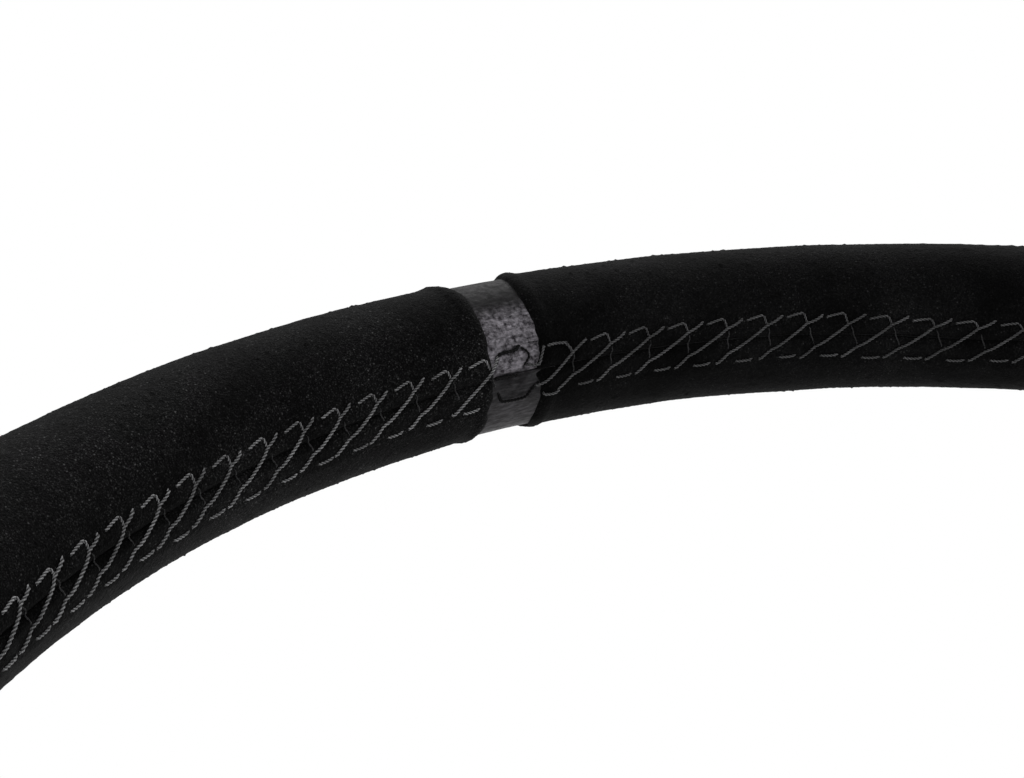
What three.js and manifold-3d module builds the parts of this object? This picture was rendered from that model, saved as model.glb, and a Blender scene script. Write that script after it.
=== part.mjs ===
// A 350 mm suede racing wheel on a ball-lock quick release.
//
// Frame: millimetres, +Z up. The steering axis is Y, and the driver sits on the -Y side and looks along +Y.
// The origin is the middle of the end face of the splined spindle, where the steering shaft goes in.
// Along the axis, a place is given as its distance from that end face towards the driver, so y = -distance.
// Round the axis, an angle is counted from +X towards +Z, so that 90 degrees is the top of the wheel.
//
// At rest the release collar is pulled back and the balls are free, which is how the wheel slides on and off.

import * as THREE from "three";
import { mergeVertices } from "three/addons/utils/BufferGeometryUtils.js";
import Module from "manifold-3d";

const wasm = await Module();
wasm.setup();

// ---------------------------------------------------------------- driving dimensions
// Gaps
const FIT_GAP = 0.3; // between faces that are clamped, glued or screwed together
const RUN_GAP = 0.2; // radial clearance of what slides

// Rim
const WHEEL_DIAMETER = 350;
const GRIP_DIAMETER = 29; // over the suede
const SUEDE_THICKNESS = 1.1;
const MARKER_THICKNESS = 0.5;
const MARKER_WIDTH = 11.2; // of the top band, along the rim's centre line
const RING_WIDTH = 12; // armature ring inside the foam, in and out from the axis
const RING_THICKNESS = 5;
const LACING_WIDTH = 9.6;
const LACING_THICKNESS = 0.5;
const LACING_TILT = 3.5; // degrees from the innermost line of the grip towards the driver

// Spokes and centre plate
const PLATE_THICKNESS = 4;
const DISH = 35; // centre plate to rim, towards the driver
const BOLT_CIRCLE = 70;
const BOLT_COUNT = 6;
const BOLT_RADIUS = 2.5;
const BOLT_HEAD_RADIUS = 4.6;
const BOLT_HEAD_DEPTH = 2.5;
const BOLT_SOCKET_RADIUS = 1.75;
const BOLT_SOCKET_DEPTH = 1.6;
const PLATE_EDGE = 10; // metal outside the bolt circle
const SPOKE_ANGLES = [0, 180, 270];
const SPOKE_ROOT_WIDTH = 46;
const SPOKE_TIP_WIDTH = 30;
const SPOKE_FLAT = 8; // flat length at each end of a spoke's bend
const SLOT_ROOT_RADIUS = 8;
const SLOT_TIP_RADIUS = 4.5;
const SLOT_MARGIN = 14; // from the slot to the centre plate and to the grip

// Spindle on the steering shaft
const SHAFT_BORE_RADIUS = 10.1;
const SHAFT_DEPTH = 22;
const SOCKET_WALL = 6;
const SOCKET_FLOOR = 3;
const WIRE_HOLE_RADIUS = 4;
const SHOULDER_THICKNESS = 4;
const SHOULDER_REACH = 4; // past the spline
const SPLINE_LENGTH = 12;
const SPLINE_HEIGHT = 1.4;
const SPLINE_TEETH = 18; // places; one is left blank, so that the wheel goes on one way
const JOURNAL_RADIUS = 14;
const NOSE_LENGTH = 10; // journal in front of the balls
const NOSE_CHAMFER = 1.5;
const O_RING_SECTION = 1.6;
const GRUB_COUNT = 3;
const GRUB_RADIUS = 3;
const GRUB_SOCKET_RADIUS = 1.6;

// Ball lock and collar
const BALL_COUNT = 6;
const BALL_RADIUS = 3.5;
const LOCK_DEPTH = 1.6; // a locked ball's reach into the journal
const COLLAR_TRAVEL = 8;
const COLLAR_LIP = 2.2;
const LAND_LENGTH = 6;
const CONE_LEAD = 1;
const COLLAR_WALL = 3.5;
const FINGER_LIP_HEIGHT = 6;
const FINGER_LIP_THICKNESS = 5;
const SCALLOP_COUNT = 12;
const SCALLOP_RADIUS = 5;
const SPRING_WIRE = 1.3;
const SPRING_TURNS = 4;
const SPRING_COIL_GAP = 0.35; // between the turns while the collar is pulled back
const CIRCLIP_THICKNESS = 1.2;
const CIRCLIP_GROOVE_DEPTH = 1;
const CIRCLIP_WIDTH = 2.5;
const CIRCLIP_OPENING = 40; // degrees

// Hub
const HUB_END_LAND = 1.4; // behind the circlip groove
const FLANGE_THICKNESS = 7;
const FLANGE_EDGE = 6.5; // metal outside the bolt circle
const FLANGE_SCALLOP_RADIUS = 9;
const HUB_FRONT_STEP = 0.8; // how much wider the bore is in front of the spindle's nose

// Horn push
const HORN_TRAVEL = 3;
const HORN_CAP_RADIUS = 20.5;
const HORN_CAP_WALL = 2;
const HORN_CAP_FLANGE = 1.3;
const HORN_CAP_FLANGE_THICKNESS = 2.5;
const HORN_DOME = 3.5;
const HORN_LIP = 1.8;
const HOUSING_WALL = 2;
const HOUSING_FLANGE = 2.6;
const HOUSING_FLANGE_THICKNESS = 3;
const BEZEL_THICKNESS = 4;
const BEZEL_LIP_WALL = 3;
const CONTACT_THICKNESS = 0.8;
const CONTACT_INNER = 11;
const CONTACT_OUTER = 18;
const HORN_SPRING_RADIUS = 6;
const HORN_SPRING_WIRE = 1;
const HORN_SPRING_TURNS = 5;
const TERMINAL_WIDTH = 6.3;
const TERMINAL_THICKNESS = 0.8;
const TERMINAL_LENGTH = 8;

// Fineness
const RIM_STEPS = 40;
const GRIP_SIDES = 12;
const TURNED_STEPS = 30;
const SMALL_STEPS = 12;

// ---------------------------------------------------------------- places worked out from them
const gripRadius = GRIP_DIAMETER / 2;
const rimRadius = WHEEL_DIAMETER / 2 - gripRadius; // of the grip's centre line
const suedeInner = gripRadius - SUEDE_THICKNESS;
const foamRadius = suedeInner - FIT_GAP;

const shoulderRear = SHAFT_DEPTH + SOCKET_FLOOR;
const shoulderFront = shoulderRear + SHOULDER_THICKNESS;
const splineMinor = JOURNAL_RADIUS + 2 * RUN_GAP;
const splineMajor = splineMinor + SPLINE_HEIGHT;
const splineFront = shoulderFront + SPLINE_LENGTH;

const hubRear = shoulderFront + FIT_GAP;
const circlipRear = hubRear + HUB_END_LAND + RUN_GAP;
const circlipFront = circlipRear + CIRCLIP_THICKNESS;
const lipRear = circlipFront + FIT_GAP; // the collar's end face while it is locked
const lipFront = lipRear + COLLAR_LIP;
const grooveRadius = BALL_RADIUS + RUN_GAP;
const ballPlane = Math.max(lipFront + BALL_RADIUS + COLLAR_TRAVEL, splineFront + grooveRadius + 1);
const ballTravel = LOCK_DEPTH + RUN_GAP;
const ballLocked = JOURNAL_RADIUS - LOCK_DEPTH + BALL_RADIUS; // its centre's distance from the axis
const ballFree = ballLocked + ballTravel;
const neckRadius = ballLocked + BALL_RADIUS + RUN_GAP / 2;
const landRadius = neckRadius + RUN_GAP;
const reliefRadius = ballFree + BALL_RADIUS + FIT_GAP;
const landRear = ballPlane + CONE_LEAD;
const reliefFront = landRear - COLLAR_TRAVEL;
const landFront = landRear + LAND_LENGTH;
const springRadius = landRadius + SPRING_WIRE / 2 + FIT_GAP;
const cupRadius = springRadius + SPRING_WIRE / 2 + FIT_GAP;
const springPressed = SPRING_WIRE + SPRING_TURNS * (SPRING_WIRE + SPRING_COIL_GAP) + 2 * FIT_GAP;
const flangeRear = landFront + COLLAR_TRAVEL + springPressed;
const flangeFront = flangeRear + FLANGE_THICKNESS;
const collarFront = flangeRear - COLLAR_TRAVEL - FIT_GAP;
const collarRadius = Math.max(reliefRadius, cupRadius) + COLLAR_WALL;
const noseFront = ballPlane + NOSE_LENGTH;

const plateRear = flangeFront + FIT_GAP;
const plateFront = plateRear + PLATE_THICKNESS;
const plateMiddle = plateRear + PLATE_THICKNESS / 2;
const rimPlane = plateMiddle + DISH;

const housingInner = HORN_CAP_RADIUS + HORN_CAP_FLANGE + 2 * RUN_GAP;
const housingOuter = housingInner + HOUSING_WALL;
const housingBore = housingOuter + FIT_GAP; // of the plate and the bezel around the housing
const bezelLipRadius = housingBore + HOUSING_FLANGE + BEZEL_LIP_WALL;
const boltRadius = Math.max(BOLT_CIRCLE / 2, bezelLipRadius + BOLT_HEAD_RADIUS + FIT_GAP);
const plateRadius = boltRadius + PLATE_EDGE;
const bezelRear = plateFront + FIT_GAP;
const bezelFront = bezelRear + BEZEL_THICKNESS;
const housingRear = flangeFront + FIT_GAP;
const floorFront = housingRear + HOUSING_WALL;
const fixedContactRear = floorFront + FIT_GAP;
const fixedContactFront = fixedContactRear + CONTACT_THICKNESS;
const movingContactRear = fixedContactFront + FIT_GAP + HORN_TRAVEL;
const capRear = movingContactRear + CONTACT_THICKNESS + FIT_GAP;
const capFlangeFront = capRear + HORN_CAP_FLANGE_THICKNESS;
const housingLipRear = capFlangeFront + FIT_GAP;
const housingFront = housingLipRear + HORN_LIP;
const capEdge = housingFront + HORN_TRAVEL + 1; // where the cap's dome begins

const radians = THREE.MathUtils.degToRad;

// ---------------------------------------------------------------- materials
const paint = (color, roughness, metalness) =>
  new THREE.MeshStandardMaterial({ color, roughness, metalness });
const materials = {
  suede: paint(0x0c0c0d, 0.95, 0),
  marker: paint(0x47444a, 0.75, 0),
  thread: paint(0x3a3a3c, 0.6, 0),
  foam: paint(0x1b1b1d, 0.9, 0),
  anodised: paint(0x151517, 0.45, 0.8),
  alloy: paint(0x9a9ca0, 0.35, 0.9),
  steel: paint(0x8d8f93, 0.3, 1),
  blackSteel: paint(0x1c1c1e, 0.4, 0.9),
  springSteel: paint(0x6f7276, 0.3, 1),
  brass: paint(0xb08d3e, 0.35, 1),
  plastic: paint(0x121213, 0.55, 0),
  rubber: paint(0x0e0e0e, 0.8, 0),
};

// ---------------------------------------------------------------- helpers
// A three.js geometry as a solid that can be joined and cut.
function solid(geometry) {
  const open = geometry.index ? geometry.toNonIndexed() : geometry;
  const bare = new THREE.BufferGeometry();
  bare.setAttribute("position", open.getAttribute("position"));
  const merged = mergeVertices(bare, 1e-4);
  return new wasm.Manifold(
    new wasm.Mesh({
      numProp: 3,
      vertProperties: merged.attributes.position.array,
      triVerts: new Uint32Array(merged.index.array),
    }),
  );
}

// A solid back as a geometry.
function geometryOf(body) {
  const made = body.getMesh();
  const geometry = new THREE.BufferGeometry();
  geometry.setAttribute("position", new THREE.BufferAttribute(new Float32Array(made.vertProperties), 3));
  geometry.setIndex(new THREE.BufferAttribute(new Uint32Array(made.triVerts), 1));
  geometry.computeVertexNormals();
  return geometry;
}

const joined = (bodies) => bodies.reduce((all, next) => all.add(next));

// Turns a closed profile of [radius, distance along the axis] about the steering axis.
function turned(profile, steps = TURNED_STEPS) {
  const points = profile.map(([radius, along]) => new THREE.Vector2(radius, -along));
  if (THREE.ShapeUtils.area(points) < 0) points.reverse();
  points.push(points[0].clone());
  return solid(new THREE.LatheGeometry(points, steps));
}

// A profile's rectangle from one radius and distance to another.
const box = (innerRadius, outerRadius, rear, front) => [
  [innerRadius, rear],
  [outerRadius, rear],
  [outerRadius, front],
  [innerRadius, front],
];

const tube = (innerRadius, outerRadius, rear, front, steps) =>
  turned(box(innerRadius, outerRadius, rear, front), steps);

// A cylinder on the steering axis. Its profile runs along the axis itself.
const rod = (radius, rear, front, steps = TURNED_STEPS) => {
  const geometry = new THREE.CylinderGeometry(radius, radius, front - rear, steps);
  return solid(geometry.translate(0, -(rear + front) / 2, 0));
};

// Extrudes a shape drawn in the wheel's face, x to the right and y up, from rear to front.
function plate(shape, rear, front, curveSegments = 12) {
  const geometry = new THREE.ExtrudeGeometry(shape, {
    depth: front - rear,
    bevelEnabled: false,
    curveSegments,
  });
  return solid(geometry.rotateX(Math.PI / 2).translate(0, -rear, 0));
}

// A geometry's copy turned about the steering axis, by degrees from +X towards +Z.
const around = (geometry, degrees) => geometry.clone().rotateY(-radians(degrees));

// The part of the wheel between two angles, less than half a turn apart.
function sector(from, to) {
  const reach = WHEEL_DIAMETER;
  const middle = (from + to) / 2;
  const shape = new THREE.Shape();
  shape.moveTo(0, 0);
  for (const angle of [from, middle, to])
    shape.lineTo(reach * Math.cos(radians(angle)), reach * Math.sin(radians(angle)));
  shape.closePath();
  return plate(shape, rimPlane - 2 * GRIP_DIAMETER, rimPlane + 2 * GRIP_DIAMETER);
}

// A torus around the steering axis, in the rim's plane.
function grip(radius) {
  const profile = [];
  for (let i = 0; i < GRIP_SIDES; i++) {
    const angle = (2 * Math.PI * i) / GRIP_SIDES;
    profile.push([rimRadius + radius * Math.cos(angle), rimPlane + radius * Math.sin(angle)]);
  }
  return turned(profile, RIM_STEPS);
}

// A cylinder along the axis, off centre by radius at an angle. It makes bolt holes and shanks.
function pin(radius, rear, front, offset, degrees, steps = SMALL_STEPS) {
  const geometry = new THREE.CylinderGeometry(radius, radius, front - rear, steps);
  geometry.translate(offset, -(rear + front) / 2, 0);
  return solid(around(geometry, degrees));
}

// A cylinder that points away from the axis at an angle, between two distances from it.
function radialPin(radius, near, far, along, degrees, steps = SMALL_STEPS) {
  const geometry = new THREE.CylinderGeometry(radius, radius, far - near, steps);
  geometry.rotateZ(-Math.PI / 2).translate((near + far) / 2, -along, 0);
  return solid(around(geometry, degrees));
}

// A coil spring about the steering axis, between two distances along it.
class Helix extends THREE.Curve {
  constructor(radius, turns, rear, front) {
    super();
    Object.assign(this, { radius, turns, rear, front });
  }
  getPoint(share, target = new THREE.Vector3()) {
    const angle = 2 * Math.PI * this.turns * share;
    const along = this.rear + (this.front - this.rear) * share;
    return target.set(this.radius * Math.cos(angle), -along, this.radius * Math.sin(angle));
  }
}

function spring(radius, turns, wire, rear, front, stepsPerTurn) {
  const section = new THREE.Shape().absarc(0, 0, wire / 2, 0, 2 * Math.PI);
  const geometry = new THREE.ExtrudeGeometry(section, {
    steps: Math.round(turns * stepsPerTurn),
    curveSegments: 3,
    bevelEnabled: false,
    extrudePath: new Helix(radius, turns, rear + wire / 2, front - wire / 2),
  });
  return solid(geometry);
}

const part = new THREE.Group();
part.name = "quick_release_steering_wheel";

function add(name, body, material) {
  const mesh = new THREE.Mesh(geometryOf(body), material);
  mesh.name = name;
  part.add(mesh);
}

// ---------------------------------------------------------------- rim and spokes
// The way a spoke's middle line rises from the centre plate to the rim, as [distance from axis, along axis].
const bendStart = plateRadius + SPOKE_FLAT;
const bendEnd = rimRadius - gripRadius - SPOKE_FLAT;
function spokeLine(share) {
  const rise = (1 - Math.cos(Math.PI * share)) / 2;
  const slope = ((Math.PI / 2) * Math.sin(Math.PI * share) * DISH) / (bendEnd - bendStart);
  const out = bendStart + (bendEnd - bendStart) * share;
  return { out, along: plateMiddle + DISH * rise, slope };
}

// One spoke, along +X: its dished side view, kept where its plan has metal.
function spokeGeometryParts() {
  const BEND_STEPS = 8;
  const half = PLATE_THICKNESS / 2;
  const inner = boltRadius;
  const outer = rimRadius;
  const front = [[inner, plateFront]];
  const rear = [[inner, plateRear]];
  for (let i = 0; i <= BEND_STEPS; i++) {
    const { out, along, slope } = spokeLine(i / BEND_STEPS);
    const length = Math.hypot(1, slope);
    front.push([out - (half * slope) / length, along + half / length]);
    rear.push([out + (half * slope) / length, along - half / length]);
  }
  front.push([outer, rimPlane + half]);
  rear.push([outer, rimPlane - half]);
  const side = new THREE.Shape([...rear, ...front.reverse()].map(([x, s]) => new THREE.Vector2(x, -s)));
  const wide = 2 * SPOKE_ROOT_WIDTH;
  const dished = new THREE.ExtrudeGeometry(side, { depth: wide, bevelEnabled: false });
  dished.translate(0, 0, -wide / 2);

  const plan = new THREE.Shape();
  const waist = (SPOKE_ROOT_WIDTH + 3 * SPOKE_TIP_WIDTH) / 8; // pulls the edges in between root and tip
  const middle = (bendStart + bendEnd) / 2;
  plan.moveTo(inner, -SPOKE_ROOT_WIDTH / 2);
  plan.quadraticCurveTo(middle, -waist, bendEnd, -SPOKE_TIP_WIDTH / 2);
  plan.lineTo(outer, -SPOKE_TIP_WIDTH / 2);
  plan.lineTo(outer, SPOKE_TIP_WIDTH / 2);
  plan.lineTo(bendEnd, SPOKE_TIP_WIDTH / 2);
  plan.quadraticCurveTo(middle, waist, inner, SPOKE_ROOT_WIDTH / 2);
  plan.closePath();
  const slotRoot = plateRadius + SLOT_MARGIN + SLOT_ROOT_RADIUS / 2;
  const slotTip = rimRadius - gripRadius - SLOT_MARGIN;
  const slot = new THREE.Path();
  slot.absarc(slotRoot, 0, SLOT_ROOT_RADIUS, Math.PI / 2, (3 * Math.PI) / 2, false);
  slot.absarc(slotTip, 0, SLOT_TIP_RADIUS, -Math.PI / 2, Math.PI / 2, false);
  slot.closePath();
  plan.holes.push(slot);
  const flat = new THREE.ExtrudeGeometry(plan, {
    depth: 2 * DISH + 4 * PLATE_THICKNESS,
    bevelEnabled: false,
    curveSegments: 5,
  });
  flat.rotateX(Math.PI / 2).translate(0, -(plateRear - 2 * PLATE_THICKNESS), 0);
  return { dished, flat };
}

function armature() {
  const { dished, flat } = spokeGeometryParts();
  const spokes = SPOKE_ANGLES.map((angle) =>
    solid(around(dished, angle)).intersect(solid(around(flat, angle))),
  );
  const ring = tube(
    rimRadius - RING_WIDTH / 2,
    rimRadius + RING_WIDTH / 2,
    rimPlane - RING_THICKNESS / 2,
    rimPlane + RING_THICKNESS / 2,
    RIM_STEPS,
  );
  let frame = joined([tube(housingBore, plateRadius, plateRear, plateFront, RIM_STEPS), ...spokes, ring]);
  for (let i = 0; i < BOLT_COUNT; i++) frame = frame.subtract(boltHole(plateRear - 1, plateFront + 1, i));
  return frame;
}

const boltAngle = (index) => 30 + (360 / BOLT_COUNT) * index;
const boltHole = (rear, front, index) =>
  pin(BOLT_RADIUS + FIT_GAP, rear, front, boltRadius, boltAngle(index));

// What the spokes need open where they pass through the grip.
function spokeChannels() {
  const width = SPOKE_TIP_WIDTH + 2 * FIT_GAP;
  const inner = rimRadius - GRIP_DIAMETER;
  const geometry = new THREE.BoxGeometry(rimRadius - inner, PLATE_THICKNESS + 2 * FIT_GAP, width);
  geometry.translate((rimRadius + inner) / 2, -rimPlane, 0);
  return joined(SPOKE_ANGLES.map((angle) => solid(around(geometry, angle))));
}

const channels = spokeChannels();
const ringRoom = tube(
  rimRadius - RING_WIDTH / 2 - FIT_GAP,
  rimRadius + RING_WIDTH / 2 + FIT_GAP,
  rimPlane - RING_THICKNESS / 2 - FIT_GAP,
  rimPlane + RING_THICKNESS / 2 + FIT_GAP,
  RIM_STEPS,
);
add("spoke_armature", armature(), materials.anodised);
add("rim_foam", grip(foamRadius).subtract(ringRoom).subtract(channels), materials.foam);

// Four suede covers, split at the top band and at each spoke.
const coverShell = grip(gripRadius).subtract(grip(suedeInner)).subtract(channels);
const jointAngle = THREE.MathUtils.radToDeg(FIT_GAP / 2 / rimRadius);
const markerHalf = THREE.MathUtils.radToDeg(MARKER_WIDTH / 2 / rimRadius);
const covers = {
  cover_upper_left: [90 + markerHalf + 2 * jointAngle, 180 - jointAngle],
  cover_lower_left: [180 + jointAngle, 270 - jointAngle],
  cover_lower_right: [270 + jointAngle, 360 - jointAngle],
  cover_upper_right: [jointAngle, 90 - markerHalf - 2 * jointAngle],
};
for (const [name, [from, to]] of Object.entries(covers))
  add(name, coverShell.intersect(sector(from, to)), materials.suede);

const markerShell = grip(suedeInner + MARKER_THICKNESS).subtract(grip(suedeInner));
add("top_marker", markerShell.intersect(sector(90 - markerHalf, 90 + markerHalf)), materials.marker);

// The laced seam, a thin band over the covers' inner line between one spoke and the next.
function lacingRing() {
  const STEPS = 3;
  const near = gripRadius + FIT_GAP;
  const halfAngle = LACING_WIDTH / 2 / gripRadius;
  const middle = Math.PI + radians(-LACING_TILT);
  const at = (radius, angle) => [rimRadius + radius * Math.cos(angle), rimPlane + radius * Math.sin(angle)];
  const profile = [];
  for (let i = 0; i <= STEPS; i++) profile.push(at(near, middle - halfAngle + (2 * halfAngle * i) / STEPS));
  for (let i = STEPS; i >= 0; i--)
    profile.push(at(near + LACING_THICKNESS, middle - halfAngle + (2 * halfAngle * i) / STEPS));
  return turned(profile, RIM_STEPS);
}
const lacing = lacingRing();
const spokeHalf = THREE.MathUtils.radToDeg(
  Math.asin((SPOKE_TIP_WIDTH / 2 + 2) / (rimRadius - gripRadius)),
);
const lacings = {
  lacing_top: [spokeHalf, 180 - spokeHalf],
  lacing_lower_left: [180 + spokeHalf, 270 - spokeHalf],
  lacing_lower_right: [270 + spokeHalf, 360 - spokeHalf],
};
for (const [name, [from, to]] of Object.entries(lacings))
  add(name, lacing.intersect(sector(from, to)), materials.thread);

// ---------------------------------------------------------------- splined spindle
// The spline's plan: a star with flat-topped teeth, and one tooth left out at the top.
function splineShape(minor, major) {
  const pitch = (2 * Math.PI) / SPLINE_TEETH;
  const blank = Math.round(SPLINE_TEETH / 4);
  const shape = new THREE.Shape();
  for (let i = 0; i < SPLINE_TEETH; i++) {
    const top = i === blank ? minor : major;
    const corners = [
      [minor, -0.28],
      [top, -0.18],
      [top, 0.18],
      [minor, 0.28],
    ];
    for (const [radius, share] of corners) {
      const angle = (i + share) * pitch;
      const [x, y] = [radius * Math.cos(angle), radius * Math.sin(angle)];
      if (i === 0 && share === corners[0][1]) shape.moveTo(x, y);
      else shape.lineTo(x, y);
    }
  }
  shape.closePath();
  return shape;
}

function grubHoleAngle(index) {
  return 90 + (360 / GRUB_COUNT) * index;
}
const socketRadius = SHAFT_BORE_RADIUS + SOCKET_WALL;
const grubPlane = SHAFT_DEPTH / 2;

function spindle() {
  const shoulder = splineMajor + SHOULDER_REACH;
  const core = turned([
    [SHAFT_BORE_RADIUS, 0],
    [socketRadius, 0],
    [socketRadius, shoulderRear - 1],
    [shoulder - 1, shoulderRear],
    [shoulder, shoulderRear + 1],
    [shoulder, shoulderFront],
    [JOURNAL_RADIUS, shoulderFront],
    [JOURNAL_RADIUS, noseFront - NOSE_CHAMFER],
    [JOURNAL_RADIUS - NOSE_CHAMFER, noseFront],
    [WIRE_HOLE_RADIUS, noseFront],
    [WIRE_HOLE_RADIUS, SHAFT_DEPTH],
    [SHAFT_BORE_RADIUS, SHAFT_DEPTH],
  ]);
  const teeth = plate(splineShape(splineMinor, splineMajor), shoulderFront - 1, splineFront).subtract(
    rod(JOURNAL_RADIUS - 2, shoulderFront - 2, splineFront + 1),
  );
  let body = core.add(teeth).subtract(ballGroove());
  body = body.subtract(
    tube(oRingSeat, JOURNAL_RADIUS + 1, oRingPlane - oRingRoom / 2, oRingPlane + oRingRoom / 2),
  );
  for (let i = 0; i < GRUB_COUNT; i++)
    body = body.subtract(
      radialPin(GRUB_RADIUS, SHAFT_BORE_RADIUS - 1, socketRadius + 1, grubPlane, grubHoleAngle(i)),
    );
  return body;
}

// The groove that the locked balls sit in, a little wider than they are.
function ballGroove() {
  const SIDES = 12;
  const profile = [];
  for (let i = 0; i < SIDES; i++) {
    const angle = (2 * Math.PI * i) / SIDES;
    profile.push([ballLocked + grooveRadius * Math.cos(angle), ballPlane + grooveRadius * Math.sin(angle)]);
  }
  return turned(profile);
}

const oRingPlane = noseFront - NOSE_CHAMFER - O_RING_SECTION;
const oRingRoom = O_RING_SECTION + 2 * FIT_GAP;
const oRingMiddle = JOURNAL_RADIUS - O_RING_SECTION / 2 + RUN_GAP / 2;
const oRingSeat = oRingMiddle - O_RING_SECTION / 2 - FIT_GAP;

function oRing() {
  const SIDES = 6;
  const profile = [];
  for (let i = 0; i < SIDES; i++) {
    const angle = (2 * Math.PI * i) / SIDES;
    const reach = O_RING_SECTION / 2;
    profile.push([oRingMiddle + reach * Math.cos(angle), oRingPlane + reach * Math.sin(angle)]);
  }
  return turned(profile);
}

function grubScrew(index) {
  const near = SHAFT_BORE_RADIUS + FIT_GAP;
  const far = socketRadius - FIT_GAP;
  const angle = grubHoleAngle(index);
  const body = radialPin(GRUB_RADIUS - FIT_GAP, near, far, grubPlane, angle);
  const socket = radialPin(GRUB_SOCKET_RADIUS, (near + far) / 2, far + 1, grubPlane, angle, 6);
  return body.subtract(socket);
}

add("spindle", spindle(), materials.steel);
add("nose_o_ring", oRing(), materials.rubber);
for (let i = 0; i < GRUB_COUNT; i++) add(`shaft_grub_screw_${i + 1}`, grubScrew(i), materials.blackSteel);

// ---------------------------------------------------------------- hub, balls, collar and spring
const pilotBore = JOURNAL_RADIUS + RUN_GAP;
const pocketRadius = BALL_RADIUS + RUN_GAP;
const ballAngle = (index) => (360 / BALL_COUNT) * index;

function hub() {
  const flangeRadius = boltRadius + FLANGE_EDGE;
  const grooveFloor = neckRadius - CIRCLIP_GROOVE_DEPTH;
  let body = turned([
    [pilotBore, hubRear],
    [neckRadius, hubRear],
    [neckRadius, circlipRear - RUN_GAP],
    [grooveFloor, circlipRear - RUN_GAP],
    [grooveFloor, circlipFront + RUN_GAP],
    [neckRadius, circlipFront + RUN_GAP],
    [neckRadius, flangeRear],
    [flangeRadius - 1, flangeRear],
    [flangeRadius, flangeRear + 1],
    [flangeRadius, flangeFront],
    [pilotBore + HUB_FRONT_STEP, flangeFront],
    [pilotBore + HUB_FRONT_STEP, noseFront + FIT_GAP],
    [pilotBore, noseFront + FIT_GAP],
  ]);
  const broach = plate(
    splineShape(splineMinor + RUN_GAP, splineMajor + RUN_GAP),
    hubRear - 1,
    splineFront + FIT_GAP,
  );
  body = body.subtract(broach);
  for (let i = 0; i < BALL_COUNT; i++)
    body = body.subtract(
      radialPin(pocketRadius, pilotBore - 1, neckRadius + 1, ballPlane, ballAngle(i)),
    );
  for (let i = 0; i < BOLT_COUNT; i++) {
    body = body.subtract(boltHole(flangeRear - 1, flangeFront + 1, i));
    const scallop = flangeRadius + FLANGE_SCALLOP_RADIUS / 2;
    const between = boltAngle(i) + 180 / BOLT_COUNT;
    body = body.subtract(
      pin(FLANGE_SCALLOP_RADIUS, flangeRear - 1, flangeFront + 1, scallop, between),
    );
  }
  return body;
}

// The collar's profile is drawn locked and then moved to where it is pulled back.
function collar() {
  const out = COLLAR_TRAVEL;
  const fingerRadius = collarRadius + FINGER_LIP_HEIGHT;
  const profile = [
    [landRadius, lipRear],
    [fingerRadius - 1, lipRear],
    [fingerRadius, lipRear + 1],
    [fingerRadius, lipRear + FINGER_LIP_THICKNESS - 1],
    [collarRadius, lipRear + FINGER_LIP_THICKNESS + FINGER_LIP_HEIGHT / 2],
    [collarRadius, collarFront - 1],
    [collarRadius - 1, collarFront],
    [cupRadius, collarFront],
    [cupRadius, landFront],
    [landRadius, landFront],
    [landRadius, landRear],
    [reliefRadius, reliefFront],
    [reliefRadius, lipFront],
    [landRadius, lipFront],
  ].map(([radius, along]) => [radius, along + out]);
  let body = turned(profile);
  for (let i = 0; i < SCALLOP_COUNT; i++)
    body = body.subtract(
      pin(
        SCALLOP_RADIUS,
        lipRear + out - 1,
        lipRear + out + FINGER_LIP_THICKNESS + FINGER_LIP_HEIGHT,
        fingerRadius + SCALLOP_RADIUS * 0.55,
        (360 / SCALLOP_COUNT) * (i + 0.5),
        12,
      ),
    );
  return body;
}

function circlip() {
  const inner = neckRadius - CIRCLIP_GROOVE_DEPTH + FIT_GAP;
  const ring = tube(inner, inner + CIRCLIP_WIDTH, circlipRear, circlipFront);
  const reach = 2 * neckRadius;
  const half = radians(CIRCLIP_OPENING / 2);
  const bottom = -Math.PI / 2;
  const opening = new THREE.Shape();
  opening.moveTo(0, 0);
  opening.lineTo(reach * Math.cos(bottom - half), reach * Math.sin(bottom - half));
  opening.lineTo(reach * Math.cos(bottom + half), reach * Math.sin(bottom + half));
  opening.closePath();
  return ring.subtract(plate(opening, circlipRear - 1, circlipFront + 1));
}

function ball(index) {
  const geometry = new THREE.SphereGeometry(BALL_RADIUS, 12, 8);
  geometry.translate(ballFree, -ballPlane, 0);
  return solid(around(geometry, ballAngle(index)));
}

add("release_hub", hub(), materials.alloy);
add("release_collar", collar(), materials.anodised);
add("collar_circlip", circlip(), materials.springSteel);
add(
  "collar_spring",
  spring(
    springRadius,
    SPRING_TURNS,
    SPRING_WIRE,
    landFront + COLLAR_TRAVEL + FIT_GAP,
    flangeRear - FIT_GAP,
    18,
  ),
  materials.springSteel,
);
for (let i = 0; i < BALL_COUNT; i++) add(`lock_ball_${i + 1}`, ball(i), materials.steel);

// ---------------------------------------------------------------- horn push and its ring
function bezel() {
  const flangeRoom = housingOuter + HOUSING_FLANGE + FIT_GAP;
  const shelf = bezelRear + HOUSING_FLANGE_THICKNESS + FIT_GAP;
  let ring = turned([
    [flangeRoom, bezelRear],
    [plateRadius - 1, bezelRear],
    [plateRadius - 1, bezelFront - 1],
    [plateRadius - 2, bezelFront],
    [bezelLipRadius, bezelFront],
    [bezelLipRadius - BEZEL_LIP_WALL / 2, housingFront],
    [housingBore, housingFront],
    [housingBore, shelf],
    [flangeRoom, shelf],
  ]);
  for (let i = 0; i < BOLT_COUNT; i++) {
    ring = ring.subtract(boltHole(bezelRear - 1, bezelFront + 1, i));
    ring = ring.subtract(countersink(i));
  }
  return ring;
}

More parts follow.
